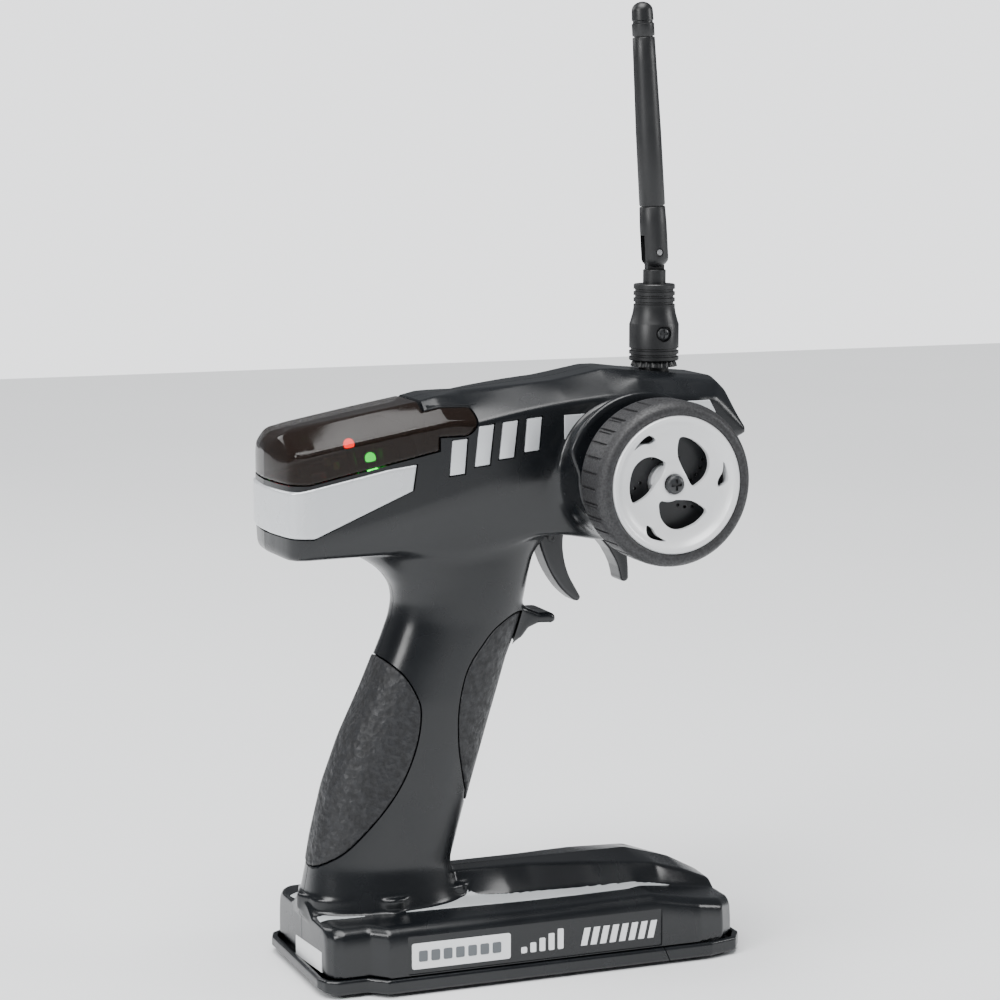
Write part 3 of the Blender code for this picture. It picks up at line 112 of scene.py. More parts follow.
GUARD_OUTLINE = [
    *mm((26.2, 142.1), (26.2, 141.2), (30, 140), (33.5, 137.7), (35.8, 135), (37.8, 131.6), (39, 129),
        (39.9, 125.5)),
    *arc((0.0414, 0.1252), 0.0015, 190, 350, 9),
    *mm((42.8, 128.5), (42.4, 133), (41, 137.5), (41.9, 143.5), (30, 142.1)),
]
SPUR_OUTLINE = [
    *mm((-5, 118), (4.8, 117.7), (9.5, 115.8), (12.7, 115.8)),
    *arc((0.0134, 0.1138), 0.0017, 70, -110, 9),
    *mm((9, 112.4), (5.5, 111), (3, 108), (-5, 104)),
]
GUARD_HALF, SPUR_HALF, TRIGGER_HALF = 0.0050, 0.0085, 0.0048
TRIGGER_SLOT = mm((7.8, 128), (25.6, 128), (25.6, 156), (7.8, 156))
TRIGGER_OUTLINE = [
    *mm((20, 151), (14, 151), (11.6, 148), (10.6, 140.5), (11.2, 137), (13.4, 131), (16, 126.2),
        (19.3, 121.8), (23, 118.6)),
    *arc((0.0243, 0.1194), 0.0012, 230, 380, 9),
    *mm((23.6, 123), (21.6, 126.6), (20.2, 130.5), (19.4, 134.5), (19.2, 139)),
]
GILL_WIDTH = 0.0052
GILL_TOPS = mm((-23.8, 176.3), (-14.7, 180.5), (-6.5, 181.5), (1.8, 182.3))
GILL_FEET = mm((-24.7, 165), (-16.2, 167.5), (-7.9, 169.5), (0.8, 171.4))
BAND_OUTLINE = mm((-90, 147.5), (-72.4, 147), (-39.8, 160.7), (-38.5, 169), (-48, 167.8), (-77, 162),
                  (-90, 162))
REAR_INSERT = mm((-50, 106.2), (-41, 100.5), (-36.2, 92.6), (-34.9, 85.8), (-37, 74.4), (-42.9, 61.7),
                 (-53.2, 49.3), (-64.5, 39.5), (-80, 34), (-90, 70), (-70, 108))
FRONT_INSERT = mm((3, 117), (-7, 113.6), (-13.3, 107.4), (-18.6, 99.5), (-21.4, 88.1), (-21.4, 76.4),
                  (-20, 67.9), (-17.6, 59.4), (-14, 54), (15, 56), (30, 85), (20, 112))
EAR_SPACE = ([(-0.0400, COVER_PIVOT.z - COVER_EAR - GAP)]
             + arc((COVER_PIVOT.x, COVER_PIVOT.z), COVER_EAR + GAP, -90, 82, 19)
             + [(COVER_PIVOT.x + 0.0012, 0.1990), (-0.0400, 0.1990)])
SCREWS = mm((-50, 150, 22), (60, 176, 21.9), (-45, 42, 15))
JACK = Vector((-0.0440, 0.0358, 0.0150))
# Openings in the wheel: radius in millimetres and angle in degrees.
BEAN = ((14.9, -159), (15.2, -174), (15.0, 170), (14.7, 156), (13.5, 142), (11.4, 129), (8.5, 116),
        (6.8, 112), (5.1, 137), (6.0, 180), (8.7, -161), (12.1, -157))
SLIT = ((18.0, 141), (18.4, 132), (18.3, 120), (15.8, 114), (15.3, 121), (17.0, 131))

# ---------------- fields
CELL = 0.0006  # spacing of the grid of the mouldings
FINE = 0.0004  # and of small skins


class Grid:
    """A block of points; x, y and z are its coordinates, ready to broadcast."""

    def __init__(self, low, high, cell):
        self.low, self.cell = np.array(low), cell
        counts = [int(math.ceil((b - a) / cell)) + 1 for a, b in zip(low, high)]
        places = [a + cell * np.arange(n) for a, n in zip(low, counts)]
        self.x, self.y, self.z = places[0][:, None, None], places[1][None, :, None], places[2][None, None, :]


def line(points, at, reach=0.0012):
    """A value read off a line of (place, value) points, its corners rounded over a reach."""
    places, values = (np.array(v) for v in zip(*points))
    before, after = places[0] - 0.01, places[-1] + 0.01
    first = values[0] - 0.01 * (values[1] - values[0]) / (places[1] - places[0])
    last = values[-1] + 0.01 * (values[-1] - values[-2]) / (places[-1] - places[-2])
    places = np.concatenate(([before], places, [after]))
    values = np.concatenate(([first], values, [last]))
    total, weights = 0.0, 0.0
    for offset in np.linspace(-1, 1, 9):
        weight = 1.1 - abs(offset)
        total = total + weight * np.interp(at + offset * reach, places, values)
        weights += weight
    return total / weights


def smooth_max(a, b, k):
    h = np.clip(0.5 + 0.5 * (a - b) / k, 0, 1)
    return b * (1 - h) + a * h + k * h * (1 - h)


def smooth_min(a, b, k):
    return -smooth_max(-a, -b, k)


def even(field, cell, axis=0):
    """A field divided by its own slope along an axis, so that it stays close to a distance."""
    return field / np.sqrt(1 + np.gradient(field, cell, axis=axis) ** 2)


def section(grid, corners, rounds):
    """The field of a convex section in (|y|, z), whose corners are functions of x, with rounded edges."""
    width, field = np.abs(grid.y), None
    for ((y0, z0), (y1, z1)), k in zip(zip(corners, corners[1:]), rounds):
        dy, dz = y1 - y0, z1 - z0
        side = (-dz * (width - y0) + dy * (grid.z - z0)) / np.sqrt(dy * dy + dz * dz)
        side = even(side, grid.cell)
        field = side if field is None else smooth_max(field, side, k)
    return field


def outline_field(points, u, v):
    """Signed distance from a flat outline, negative inside. u and v broadcast together."""
    nearest, inside = None, None
    for (u0, v0), (u1, v1) in zip(points, list(points[1:]) + [points[0]]):
        du, dv = u1 - u0, v1 - v0
        t = np.clip(((u - u0) * du + (v - v0) * dv) / (du * du + dv * dv + 1e-18), 0, 1)
        gap = (u - u0 - t * du) ** 2 + (v - v0 - t * dv) ** 2
        nearest = gap if nearest is None else np.minimum(nearest, gap)
        crosses = ((v0 > v) != (v1 > v)) & (u < u0 + (v - v0) * du / (dv if abs(dv) > 1e-12 else 1e-12))
        inside = crosses if inside is None else inside ^ crosses
    return np.sqrt(nearest) * np.where(inside, -1.0, 1.0)


def softened(points, steps=6):
    """A closed outline as a smooth curve through its points."""
    made, count = [], len(points)
    for i in range(count):
        a, b, c, d = (np.array(points[(i + j) % count]) for j in (-1, 0, 1, 2))
        for s in range(steps):
            t = s / steps
            made.append(tuple(0.5 * (2 * b + (c - a) * t + (2 * a - 5 * b + 4 * c - d) * t * t
                                     + (3 * b - a - 3 * c + d) * t ** 3)))
    return made


def head_field(grid):
    x = grid.x
    half, lower = line(HEAD_PLAN, x), line(HEAD_LOWER_PLAN, x)
    half, lower = np.maximum(half, 0.0004), np.minimum(np.maximum(lower, 0.0003), half - 0.0001)
    crown = np.minimum(CROWN_HALF, half * 0.5)
    edge = np.minimum(EDGE_HALF, half * 0.85)
    top, rim = line(CROWN_LINE, x, 0.0008), line(EDGE_LINE, x, 0.0008)
    shoulder = line(SHOULDER_LINE, x)
    crease, under = line(CREASE_LINE, x), line(UNDERSIDE_LINE, x)
    corners = [(0 * x, top), (crown, top), (edge, rim), (half, shoulder), (half, crease), (lower, under),
               (0 * x, under)]
    field = section(grid, corners, (0, 0.0003, 0.0010, 0.0010, 0.0009, 0.0022))
    return smooth_max(field, np.abs(x + 0.00195) - 0.08065, 0.0008)


def grip_field(grid):
    z = grid.z
    rear, front = line(GRIP_REAR, z, 0.003), line(GRIP_FRONT, z, 0.003)
    half = line(GRIP_HALF, z, 0.003)
    middle, reach, power = (rear + front) / 2, (front - rear) / 2, 2.5
    u, v = grid.x - middle, grid.y + 0 * grid.x
    ratio = ((np.abs(u) / reach) ** power + (np.abs(v) / half) ** power) ** (1 / power) + 1e-6
    field = (ratio - 1) * np.sqrt(u * u + v * v + 1e-12) / ratio
    return np.maximum(field, np.abs(z - 0.0860) - 0.0660)


def base_field(grid, floor=BASE_FLOOR):
    x = grid.x
    half, roof = line(BASE_PLAN, x, 0.0004), line(ROOF_LINE, x)
    ledge = np.minimum(line(LEDGE_LINE, x), roof - 0.0008)
    low = 0 * x + floor
    body = section(grid, [(0 * x, ledge), (half - 0.0035, ledge - 0.0004), (half - 0.0008, ledge - 0.0022),
                          (half, ledge - 0.0060), (half, low), (0 * x, low)],
                   (0, 0.0007, 0.0007, 0.0005, 0.0004))
    foot, edge = line(RIDGE_FOOT, x), np.minimum(line(RIDGE_LINE, x), roof - 0.0001)
    ridge = section(grid, [(0 * x, roof), (line(RIDGE_TOP, x), edge), (foot, ledge), (foot + 0.0001, low),
                           (0 * x, low)], (0, 0.0006, 0.0004, 0.0004))
    field = smooth_min(body, ridge, 0.0009)
    return smooth_max(field, np.maximum(BASE_REAR - x, x - BASE_FRONT), 0.0007)


COLLAR = mm((-70.2, -6), (-67.5, -11), (-60, -15), (-52, -16), (-47, -19.2), (-42.5, -18.8), (-37.5, -16),
            (-25, -12.5), (-16.5, -8.5), (-14.5, 0))


def collar_field(grid):
    """The ledge round the grip's foot, with its small lobe."""
    outline = softened(COLLAR + ((-0.0145, 0.0100), (-0.0702, 0.0100)), 3)
    plan = outline_field(outline, grid.x, -np.abs(grid.y))
    return smooth_max(plan, np.abs(grid.z - 0.0245) - 0.0027, 0.0008)


def cowl_field(grid):
    rise = grid.z - WHEEL.z
    around = np.sqrt((grid.x - WHEEL.x) ** 2 + rise ** 2)
    flange = BARREL_RADIUS - NECK_RADIUS
    flare = (*mm((10, 0), (27, 0), (30.6, 0.8)), (0.0342, flange - 0.0004), (0.0352, flange),
             (0.0380, flange))
    hood = np.clip(rise / 0.0100, 0, 1)
    radius = NECK_RADIUS + hood * hood * (3 - 2 * hood) * line(flare, -grid.y, 0.0010)
    side = even(around - radius, grid.cell, 1)
    return smooth_max(smooth_max(side, -BARREL_FACE - grid.y, 0.0012), grid.y, 0.0008)


def plate_field(grid, outline, half, k):
    flat = outline_field(outline, grid.x, grid.z)
    return smooth_max(flat, np.abs(grid.y) - half, k)


def nets(grid, field):
    """A closed mesh of the field's zero surface: one point in each cell that it crosses."""
    inside = field < 0
    shape = tuple(n - 1 for n in field.shape)
    corner = [(i, j, k) for i in (0, 1) for j in (0, 1) for k in (0, 1)]
    view = lambda a, c: a[c[0]:c[0] + shape[0], c[1]:c[1] + shape[1], c[2]:c[2] + shape[2]]
    count = sum(view(inside, c).astype(np.uint8) for c in corner)
    where = np.argwhere((count > 0) & (count < 8))
    values = np.stack([field[tuple((where + c).T)] for c in corner])
    total, crossings = np.zeros((len(where), 3)), np.zeros(len(where))
    for a in range(8):
        for b in range(a + 1, 8):
            ca, cb = np.array(corner[a]), np.array(corner[b])
            if np.abs(ca - cb).sum() != 1:
                continue
            va, vb = values[a], values[b]
            hit = (va < 0) != (vb < 0)
            t = np.where(hit, va / np.where(va == vb, 1, va - vb), 0)
            total += np.where(hit[:, None], ca + t[:, None] * (cb - ca), 0)
            crossings += hit
    points = grid.low + grid.cell * (where + total / crossings[:, None])
    index = np.full(shape, -1, np.int32)
    index[tuple(where.T)] = np.arange(len(where))
    quads = []
    for axis in range(3):
        near = [slice(1, n) for n in shape]
        near[axis] = slice(0, shape[axis])
        far = list(near)
        far[axis] = slice(1, shape[axis] + 1)
        first, second = inside[tuple(near)], inside[tuple(far)]
        crossed = np.argwhere(first != second)
        base = crossed + np.array([0 if a == axis else 1 for a in range(3)])
        u, v = [(axis + 1) % 3, (axis + 2) % 3]
        step_u, step_v = np.eye(3, dtype=int)[u], np.eye(3, dtype=int)[v]
        ring = [index[tuple((base - o).T)] for o in (step_u + step_v, step_v, 0 * step_u, step_u)]
        quad = np.stack(ring, 1)
        flip = ~first[tuple(crossed.T)]
        quad[flip] = quad[flip][:, ::-1]
        quads.append(quad)
    return points, np.concatenate(quads)


def mesh_from(name, points, quads):
    mesh = bpy.data.meshes.new(name)
    mesh.vertices.add(len(points))
    mesh.vertices.foreach_set("co", np.asarray(points, np.float32).ravel())
    mesh.loops.add(quads.size)
    mesh.loops.foreach_set("vertex_index", np.asarray(quads, np.int32).ravel())
    mesh.polygons.add(len(quads))
    mesh.polygons.foreach_set("loop_start", np.arange(0, quads.size, 4, dtype=np.int32))
    mesh.update(calc_edges=True)
    mesh.validate()
    return mesh


def add(name, mesh, look=None):
    made = bpy.data.objects.new(name, mesh)
    bpy.context.scene.collection.objects.link(made)
    mesh.materials.clear()
    if look:
        mesh.materials.append(look)
    return made


def solid(name, grid, field, look=None):
    return add(name, mesh_from(name, *nets(grid, field)), look)


# ---------------- mesh code
def mesh_of(name, bm):
    bmesh.ops.recalc_face_normals(bm, faces=bm.faces)
    mesh = bpy.data.meshes.new(name)
    bm.to_mesh(mesh)
    bm.free()
    return mesh


def settle(shape, *others):
    """Applies an object's modifiers and removes the cutters they used."""
    bpy.context.view_layer.update()
    mesh = bpy.data.meshes.new_from_object(shape.evaluated_get(bpy.context.evaluated_depsgraph_get()))
    shape.modifiers.clear()
    shape.data = mesh
    for other in others:
        bpy.data.objects.remove(other)
    return shape


def change(shape, operation, *others, solver="MANIFOLD"):
    for other in others:
        modifier = shape.modifiers.new("change", "BOOLEAN")
        modifier.operation, modifier.solver, modifier.object = operation, solver, other
    return settle(shape, *others)


def cut(shape, *others, solver="MANIFOLD"):
    return change(shape, "DIFFERENCE", *others, solver=solver)


def join(shape, *others, solver="MANIFOLD"):
    return change(shape, "UNION", *others, solver=solver)


def bevelled(shape, width, segments=2, angle=35):
    modifier = shape.modifiers.new("edges", "BEVEL")
    modifier.width, modifier.segments = width, segments
    modifier.limit_method, modifier.angle_limit = "ANGLE", math.radians(angle)
    return settle(shape)


def smooth(shape, angle=40):
    shape.data.shade_smooth()
    shape.data.set_sharp_from_angle(angle=math.radians(angle))
    return shape


def prism(name, outline, axis, low, high, look=None):
    """A flat outline, (x, z) for axis Y, (x, y) for Z or (y, z) for X, extruded between two places."""
    order = {"X": (2, 0, 1), "Y": (0, 2, 1), "Z": (0, 1, 2)}[axis]
    bm = bmesh.new()
    rows = [[bm.verts.new([(u, v, w)[i] for i in order]) for u, v in outline] for w in (low, high)]
    for i in range(len(outline)):
        j = (i + 1) % len(outline)
        bm.faces.new((rows[0][i], rows[0][j], rows[1][j], rows[1][i]))
    bm.faces.new(rows[0])
    bm.faces.new(rows[1][::-1])
    return add(name, mesh_of(name, bm), look)


def box(name, low, high, look=None):
    return prism(name, [(low[0], low[1]), (high[0], low[1]), (high[0], high[1]), (low[0], high[1])], "Z",
                 low[2], high[2], look)


def towards(direction):
    return Vector((0, 0, 1)).rotation_difference(Vector(direction)).to_matrix().to_4x4()


def turned(name, profile, origin, direction, look=None, steps=64, closed=False, modulate=None):
    """A (radius, height) profile turned about an axis; modulate(angle, radius, height) shifts the radius."""
    bm = bmesh.new()
    frame_of = Matrix.Translation(origin) @ towards(direction)
    rows = []
    for s in range(steps):
        a = 2 * math.pi * s / steps
        row = []
        for r, h in profile:
            if modulate and r > 0:
                r += modulate(a, r, h)
            row.append(bm.verts.new(frame_of @ Vector((r * math.cos(a), r * math.sin(a), h))))
        rows.append(row)
    count = len(profile)
    for s in range(steps):
        one, two = rows[s], rows[(s + 1) % steps]
        for i in range(count if closed else count - 1):
            j = (i + 1) % count
            bm.faces.new((one[i], two[i], two[j], one[j]))
    bmesh.ops.remove_doubles(bm, verts=bm.verts, dist=1e-7)
    bmesh.ops.dissolve_degenerate(bm, dist=1e-8, edges=bm.edges)
    return add(name, mesh_of(name, bm), look)


def rod(name, start, end, radius, look=None, sides=32):
    start, end = Vector(start), Vector(end)
    length = (end - start).length
    return turned(name, [(0, length), (radius, length), (radius, 0), (0, 0)], start, end - start, look, sides)


def present(shape, body, *nodes, slot=None, angle=40):
    """Shades a finished piece, and makes it ride on a body in place of some nodes."""
    smooth(shape, angle)
    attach(shape, body)
    if nodes:
        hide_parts(*nodes)
    return shape


# ---------------- materials
class Look:
    """A Principled material and short ways of feeding its sockets."""

    def __init__(self, name, colour, roughness, **sockets):
        self.material = bpy.data.materials.new(name)
        self.material.use_nodes = True
        self.nodes, self.links = self.material.node_tree.nodes, self.material.node_tree.links
        self.shader = self.nodes["Principled BSDF"]
        self.shader.inputs["Base Color"].default_value = (*colour, 1)
        self.shader.inputs["Roughness"].default_value = roughness
        for socket, value in sockets.items():
            self.shader.inputs[socket.replace("_", " ")].default_value = value
        self.place = self.nodes.new("ShaderNodeTexCoord").outputs["Object"]
        self.bumps = None

    def noise(self, size, detail=3.0, stretch=None):
        """Noise whose features are about a size across, in metres."""
        node = self.nodes.new("ShaderNodeTexNoise")
        node.inputs["Scale"].default_value = 1 / size
        node.inputs["Detail"].default_value = detail
        place = self.place
        if stretch:
            mapping = self.nodes.new("ShaderNodeMapping")
            mapping.inputs["Scale"].default_value = stretch
            self.links.new(place, mapping.inputs["Vector"])
            place = mapping.outputs["Vector"]
        self.links.new(place, node.inputs["Vector"])
        return node.outputs["Fac"]

    def cells(self, size):
        node = self.nodes.new("ShaderNodeTexVoronoi")
        node.inputs["Scale"].default_value = 1 / size
        self.links.new(self.place, node.inputs["Vector"])
        return node.outputs["Distance"]

    def ranged(self, value, low, high, start=0.3, end=0.7):
        node = self.nodes.new("ShaderNodeMapRange")
        for socket, number in zip(("From Min", "From Max", "To Min", "To Max"), (start, end, low, high)):
            node.inputs[socket].default_value = number
        self.links.new(value, node.inputs["Value"])
        return node.outputs["Result"]

    def feed(self, socket, value):
        self.links.new(value, self.shader.inputs[socket])
        return self

    def vary(self, value, dark, light, start=0.3, end=0.7):
        """Colour between two shades by a value."""
        node = self.nodes.new("ShaderNodeMix")
        node.data_type = "RGBA"
        node.inputs["A"].default_value, node.inputs["B"].default_value = (*dark, 1), (*light, 1)
        self.links.new(self.ranged(value, 0.0, 1.0, start, end), node.inputs["Factor"])
        return self.feed("Base Color", node.outputs["Result"])

    def bump(self, value, depth, strength=1.0):
        node = self.nodes.new("ShaderNodeBump")
        node.inputs["Strength"].default_value = strength
        node.inputs["Distance"].default_value = depth
        self.links.new(value, node.inputs["Height"])
        if self.bumps:
            self.links.new(self.bumps, node.inputs["Normal"])
        self.bumps = node.outputs["Normal"]
        return self.feed("Normal", self.bumps)


def scaled(colour, by):
    return tuple(min(1.0, c * by) for c in colour)


def moulded(name, colour, roughness, grain=0.00035, depth=0.000004, spread=0.05, shade=0.12, **sockets):
    """Moulded plastic: fine grain, and a finish and a shade that drift a little."""
    made = Look(name, colour, roughness, **sockets)
    drift = made.noise(0.018)
    made.vary(drift, scaled(colour, 1 - shade), scaled(colour, 1 + shade))
    made.feed("Roughness", made.ranged(drift, roughness - spread, roughness + spread))
    made.bump(made.noise(grain, 2.0), depth)
    return made.material


def rubber(name, colour, size, depth):
    """Moulded rubber with a leather-like grain."""
    made = Look(name, colour, 0.55, Specular_IOR_Level=0.45)
    wrinkle, pore = made.noise(size, 4.0), made.cells(size * 0.8)
    made.vary(wrinkle, scaled(colour, 0.6), scaled(colour, 1.5), 0.35, 0.65)
    made.feed("Roughness", made.ranged(wrinkle, 0.62, 0.42))
    made.bump(pore, depth, 0.6)
    made.bump(wrinkle, depth)
    return made.material


def metal(name, colour, roughness, size=0.0006):
    made = Look(name, colour, roughness, Metallic=1.0)
    brushed = made.noise(size, 2.0, (1, 1, 8))
    made.vary(brushed, scaled(colour, 0.85), scaled(colour, 1.1))
    made.feed("Roughness", made.ranged(brushed, roughness - 0.06, roughness + 0.1))
    return made.material


def lit(name, colour, strength):
    made = Look(name, colour, 0.15)
    made.vary(made.noise(0.0008), scaled(colour, 0.8), scaled(colour, 1.1))
    made.shader.inputs["Emission Color"].default_value = (*colour, 1)
    made.shader.inputs["Emission Strength"].default_value = strength
    return made.material


BLACK = moulded("black_plastic", (0.0046, 0.0056, 0.0070), 0.26, spread=0.04)
PANEL_BLACK = moulded("panel_black", (0.0060, 0.0065, 0.0075), 0.40, 0.0006)
MATT_BLACK = moulded("antenna_black", (0.0085, 0.0090, 0.0100), 0.42, 0.00030, 0.000008)
GREY = moulded("dark_grey_plastic", (0.020, 0.021, 0.023), 0.36, 0.0004, 0.000006)
SILVER = moulded("silver_paint", (0.62, 0.64, 0.66), 0.30, 0.00012, 0.0000015, 0.05, 0.03, Metallic=0.25,
                 Coat_Weight=0.25, Coat_Roughness=0.15)
RIM_WHITE = moulded("rim_silver", (0.74, 0.75, 0.76), 0.34, 0.00012, 0.0000015, 0.04, 0.02, Metallic=0.15)
PALE_GREY = moulded("decal_silver", (0.44, 0.46, 0.47), 0.42, 0.0002, 0.000002, 0.04, 0.03)
WHITE = moulded("white_plastic", (0.78, 0.79, 0.80), 0.40, 0.0004, 0.000003, 0.05, 0.03)
INK = moulded("grey_ink", (0.11, 0.12, 0.13), 0.5, 0.0004, 0.000001)
INSERT = rubber("grip_rubber", (0.010, 0.0105, 0.012), 0.0024, 0.00050)
TYRE = rubber("tyre_foam", (0.022, 0.022, 0.0235), 0.0007, 0.00006)
FOOT = rubber("foot_rubber", (0.05, 0.05, 0.05), 0.0006, 0.00004)
STEEL = metal("steel", (0.55, 0.55, 0.56), 0.28)
BRASS = metal("brass", (0.72, 0.52, 0.24), 0.3)
BOARD = moulded("circuit_board", (0.02, 0.11, 0.045), 0.4, 0.0009, 0.00001, 0.08, 0.3)
SLEEVE = moulded("cell_sleeve", (0.05, 0.10, 0.28), 0.3, 0.003, 0.000002)
RED, GREEN = lit("red_lens", (1.0, 0.01, 0.005), 40.0), lit("green_lens", (0.005, 1.0, 0.06), 26.0)
SMOKE = Look("smoked_cover", (0.012, 0.0075, 0.0055), 0.07, Alpha=0.78, Specular_IOR_Level=0.3)
SMOKE.feed("Roughness", SMOKE.ranged(SMOKE.noise(0.012), 0.05, 0.11))
SMOKE.bump(SMOKE.noise(0.02), 0.00001)
SMOKE = SMOKE.material


# ---------------- the housing
def body_field(grid, floor=BASE_FLOOR, extras=True):
    field = smooth_min(head_field(grid), grip_field(grid), 0.005)
    fillet = 0.0022 + 0.0060 * np.clip((WHEEL.z + 0.0040 - grid.z) / 0.0140, 0, 1)
    field = smooth_min(field, cowl_field(grid), fillet)
    if extras:
        field = smooth_min(field, plate_field(grid, SPUR_OUTLINE, SPUR_HALF, 0.0016), 0.0030)
        field = smooth_min(field, collar_field(grid), 0.0009)
    return smooth_min(field, base_field(grid, floor), 0.0012)


def grown(outline, margin):
    """A convex outline moved outwards."""
    centre = Vector((sum(u for u, _ in outline) / len(outline), sum(v for _, v in outline) / len(outline)))
    return [tuple(Vector(p) + (Vector(p) - centre).normalized() * margin) for p in outline]


def slab(outline, half=0.0300):
    return prism("slab", outline, "Y", -half, half)


def gill_outline(index, margin=0.0):
    half = GILL_WIDTH / 2 + margin
    (top_x, top), (foot_x, foot) = GILL_TOPS[index], GILL_FEET[index]
    rise, top, foot = half * 0.1, top + margin, foot - margin
    return [(foot_x - half, foot - rise), (foot_x + half, foot + rise), (top_x + half, top + rise),
            (top_x - half, top - rise)]


INSERTS = (("grip_insert_rear", softened(REAR_INSERT)), ("grip_insert_front", softened(FRONT_INSERT)))


def grip_inserts():
    """The two rubber inserts, and the cutters of the pockets that they sit in."""
    grid = Grid((-0.0800, -0.0185, 0.0310), (0.0150, 0.0185, 0.1210), FINE)
    field = body_field(grid, extras=False)
    skin = np.maximum(field - 0.0004, -(field + 0.0009))
    pockets = []
    for name, outline in INSERTS:
        around = outline_field(outline, grid.x, grid.z)
        piece = solid(name + "_rubber", grid, smooth_max(skin, around, 0.0008), INSERT)
        present(piece, "housing", name, slot="rubber", angle=60)
        depth = np.maximum(field - 0.0012, -(field + 0.0012))
        pockets.append(solid("pocket", grid, np.maximum(depth, around - 0.0004)))
    return pockets


def housing():
    """The left and right mouldings, with their windows, pockets and seams."""
    pockets = grip_inserts()
    grid = Grid((-0.0856, -0.0402, 0.0030), (0.0814, 0.0402, 0.1990), CELL)
    blank = solid("housing_blank", grid, body_field(grid))
    coarse = Grid((-0.0856, -0.0402, -0.0060), (0.0814, 0.0402, 0.1990), 0.0013)
    inside = solid("housing_inside", coarse, body_field(coarse, -0.0040, False) + WALL)
    front = COVER_FRONT + 0.0006
    cover_space = [(-0.0900, 0.1640 - GAP), (-0.0739, 0.1640 - GAP), (-0.0303, 0.1730 - GAP),
                   (-0.0303, 0.1775), (front, 0.1775), (front, 0.1850), (front + 0.0030, 0.1990),
                   (-0.0900, 0.1990)]
    cut(blank, inside, slab(cover_space), slab(TRIGGER_SLOT, TRIGGER_HALF + 0.0006),
        slab(grown(BAND_OUTLINE, 0.0005)),
        rod("bush_hole", (WHEEL.x, -0.0320, WHEEL.z), (WHEEL.x, -0.0400, WHEEL.z), 0.0065),
        rod("antenna_hole", (ANTENNA_X, 0, 0.1800), (ANTENNA_X, 0, 0.2000), 0.0053), *pockets)
    for side, label in ((-1, "right"), (1, "left")):
        half = add("housing_" + label, blank.data.copy(), BLACK)
        low, high = sorted((side * SPLIT, side * 0.0600))
        change(half, "INTERSECT", box("side", (-0.2, low, -0.1), (0.2, high, 0.4)))
        low, high = sorted((side * (EAR_INNER - GAP), side * 0.0300))
        cut(half, prism("ear", EAR_SPACE, "Y", low, high))
        low, high = sorted((side * 0.0125, side * (EAR_INNER - 2 * GAP)))
        join(half, box("boss", (-0.0322, low, 0.1745), (-0.0150, high, 0.1866)))
        low, high = sorted((side * 0.0185, side * 0.0300))
        cut(half, *[prism("gill", gill_outline(i, GAP), "Y", low, high) for i in range(len(GILL_FEET))])
        if side > 0:
            for x, z, reach in SCREWS:
                cut(half, rod("counterbore", (x, reach - 0.0035, z), (x, reach + 0.0050, z), 0.0027))
                join(half, turned("post", [(0.0034, reach - 0.0035), (0.0034, 0.0010), (0.0013, 0.0010),
                                           (0.0013, reach - 0.0035)], (x, 0, z), (0, 1, 0), None, 32, True))
            cut(half, rod("jack_hole", JACK - Vector((0, 0.0060, 0)), JACK + Vector((0, 0.0060, 0)), 0.0039))
        else:
            outline = rounded((-0.0469, 0.0068), (0.0420, 0.0192), 0.0006)
            cut(half, prism("recess", outline, "Y", -0.0400, -0.0350))
        present(half, "housing", "body_half_" + label, slot="black_plastic", angle=48)
    bpy.data.objects.remove(blank)


def guard():
    """The curved guard in front of the trigger, its root let into the housing."""
    grid = Grid((0.0250, -0.0062, 0.1226), (0.0440, 0.0062, 0.1460), 0.0003)
    rooted = [(x, z + 0.0012 if z > 0.1415 else z) for x, z in GUARD_OUTLINE]
    piece = solid("trigger_guard_loop", grid, plate_field(grid, rooted, GUARD_HALF, 0.0014), BLACK)
    present(piece, "housing", "trigger_guard", slot="black_plastic", angle=60)


def silver_band():
    grid = Grid((-0.0842, -0.0236, 0.1440), (-0.0364, 0.0236, 0.1716), FINE)
    field = head_field(grid)
    skin = np.maximum(np.maximum(field - 0.0006, -(field + WALL)), -0.0824 - grid.x)
    piece = solid("band", grid, smooth_max(skin, outline_field(BAND_OUTLINE, grid.x, grid.z), 0.0007), SILVER)
    present(piece, "housing", "silver_band", slot="silver_paint", angle=60)


def gill_trims():
    for side, label in ((-1, "right"), (1, "left")):
        low, high = sorted((side * 0.0181, side * 0.0193))
        outline = mm((-28.5, 163.5), (7, 169.5), (9, 182.8), (-16, 180.2), (-16.5, 176.5), (-28, 176))
        plate = prism("gills_" + label, outline, "Y", low, high, SILVER)
        low, high = sorted((side * 0.0187, side * 0.0219))
        for i in range(len(GILL_FEET)):
            join(plate, bevelled(prism("gill", gill_outline(i), "Y", low, high, SILVER), 0.0004, 3))
        present(plate, "housing", "gill_trim_" + label, slot="silver_paint")


def flip_cover():
    grid = Grid((-0.0834, -0.0228, 0.1620), (-0.0160, 0.0228, 0.1906), FINE)
    head, width = head_field(grid), np.abs(grid.y)
    ears = np.maximum(-0.0300 - grid.x, EAR_INNER - width)
    field = smooth_max(head, -np.maximum(head + COVER_WALL, -ears), 0.0003)
    side_view = [*mm((-90, 164), (-73.9, 164), (-30.6, 173)), (-0.0306, COVER_PIVOT.z - COVER_EAR),
                 *arc((COVER_PIVOT.x, COVER_PIVOT.z), COVER_EAR, -90, 90, 19),
                 (COVER_PIVOT.x, 0.2100), (-0.0900, 0.2100)]
    field = smooth_max(field, outline_field(side_view, grid.x, grid.z), 0.0006)
    field = smooth_max(field, -np.maximum(COVER_FRONT - grid.x, width - EAR_INNER), 0.0005)
    cover = solid("smoked_flip_cover", grid, field, SMOKE)
    present(cover, "cover", "flip_cover", slot="smoked_cover", angle=60)


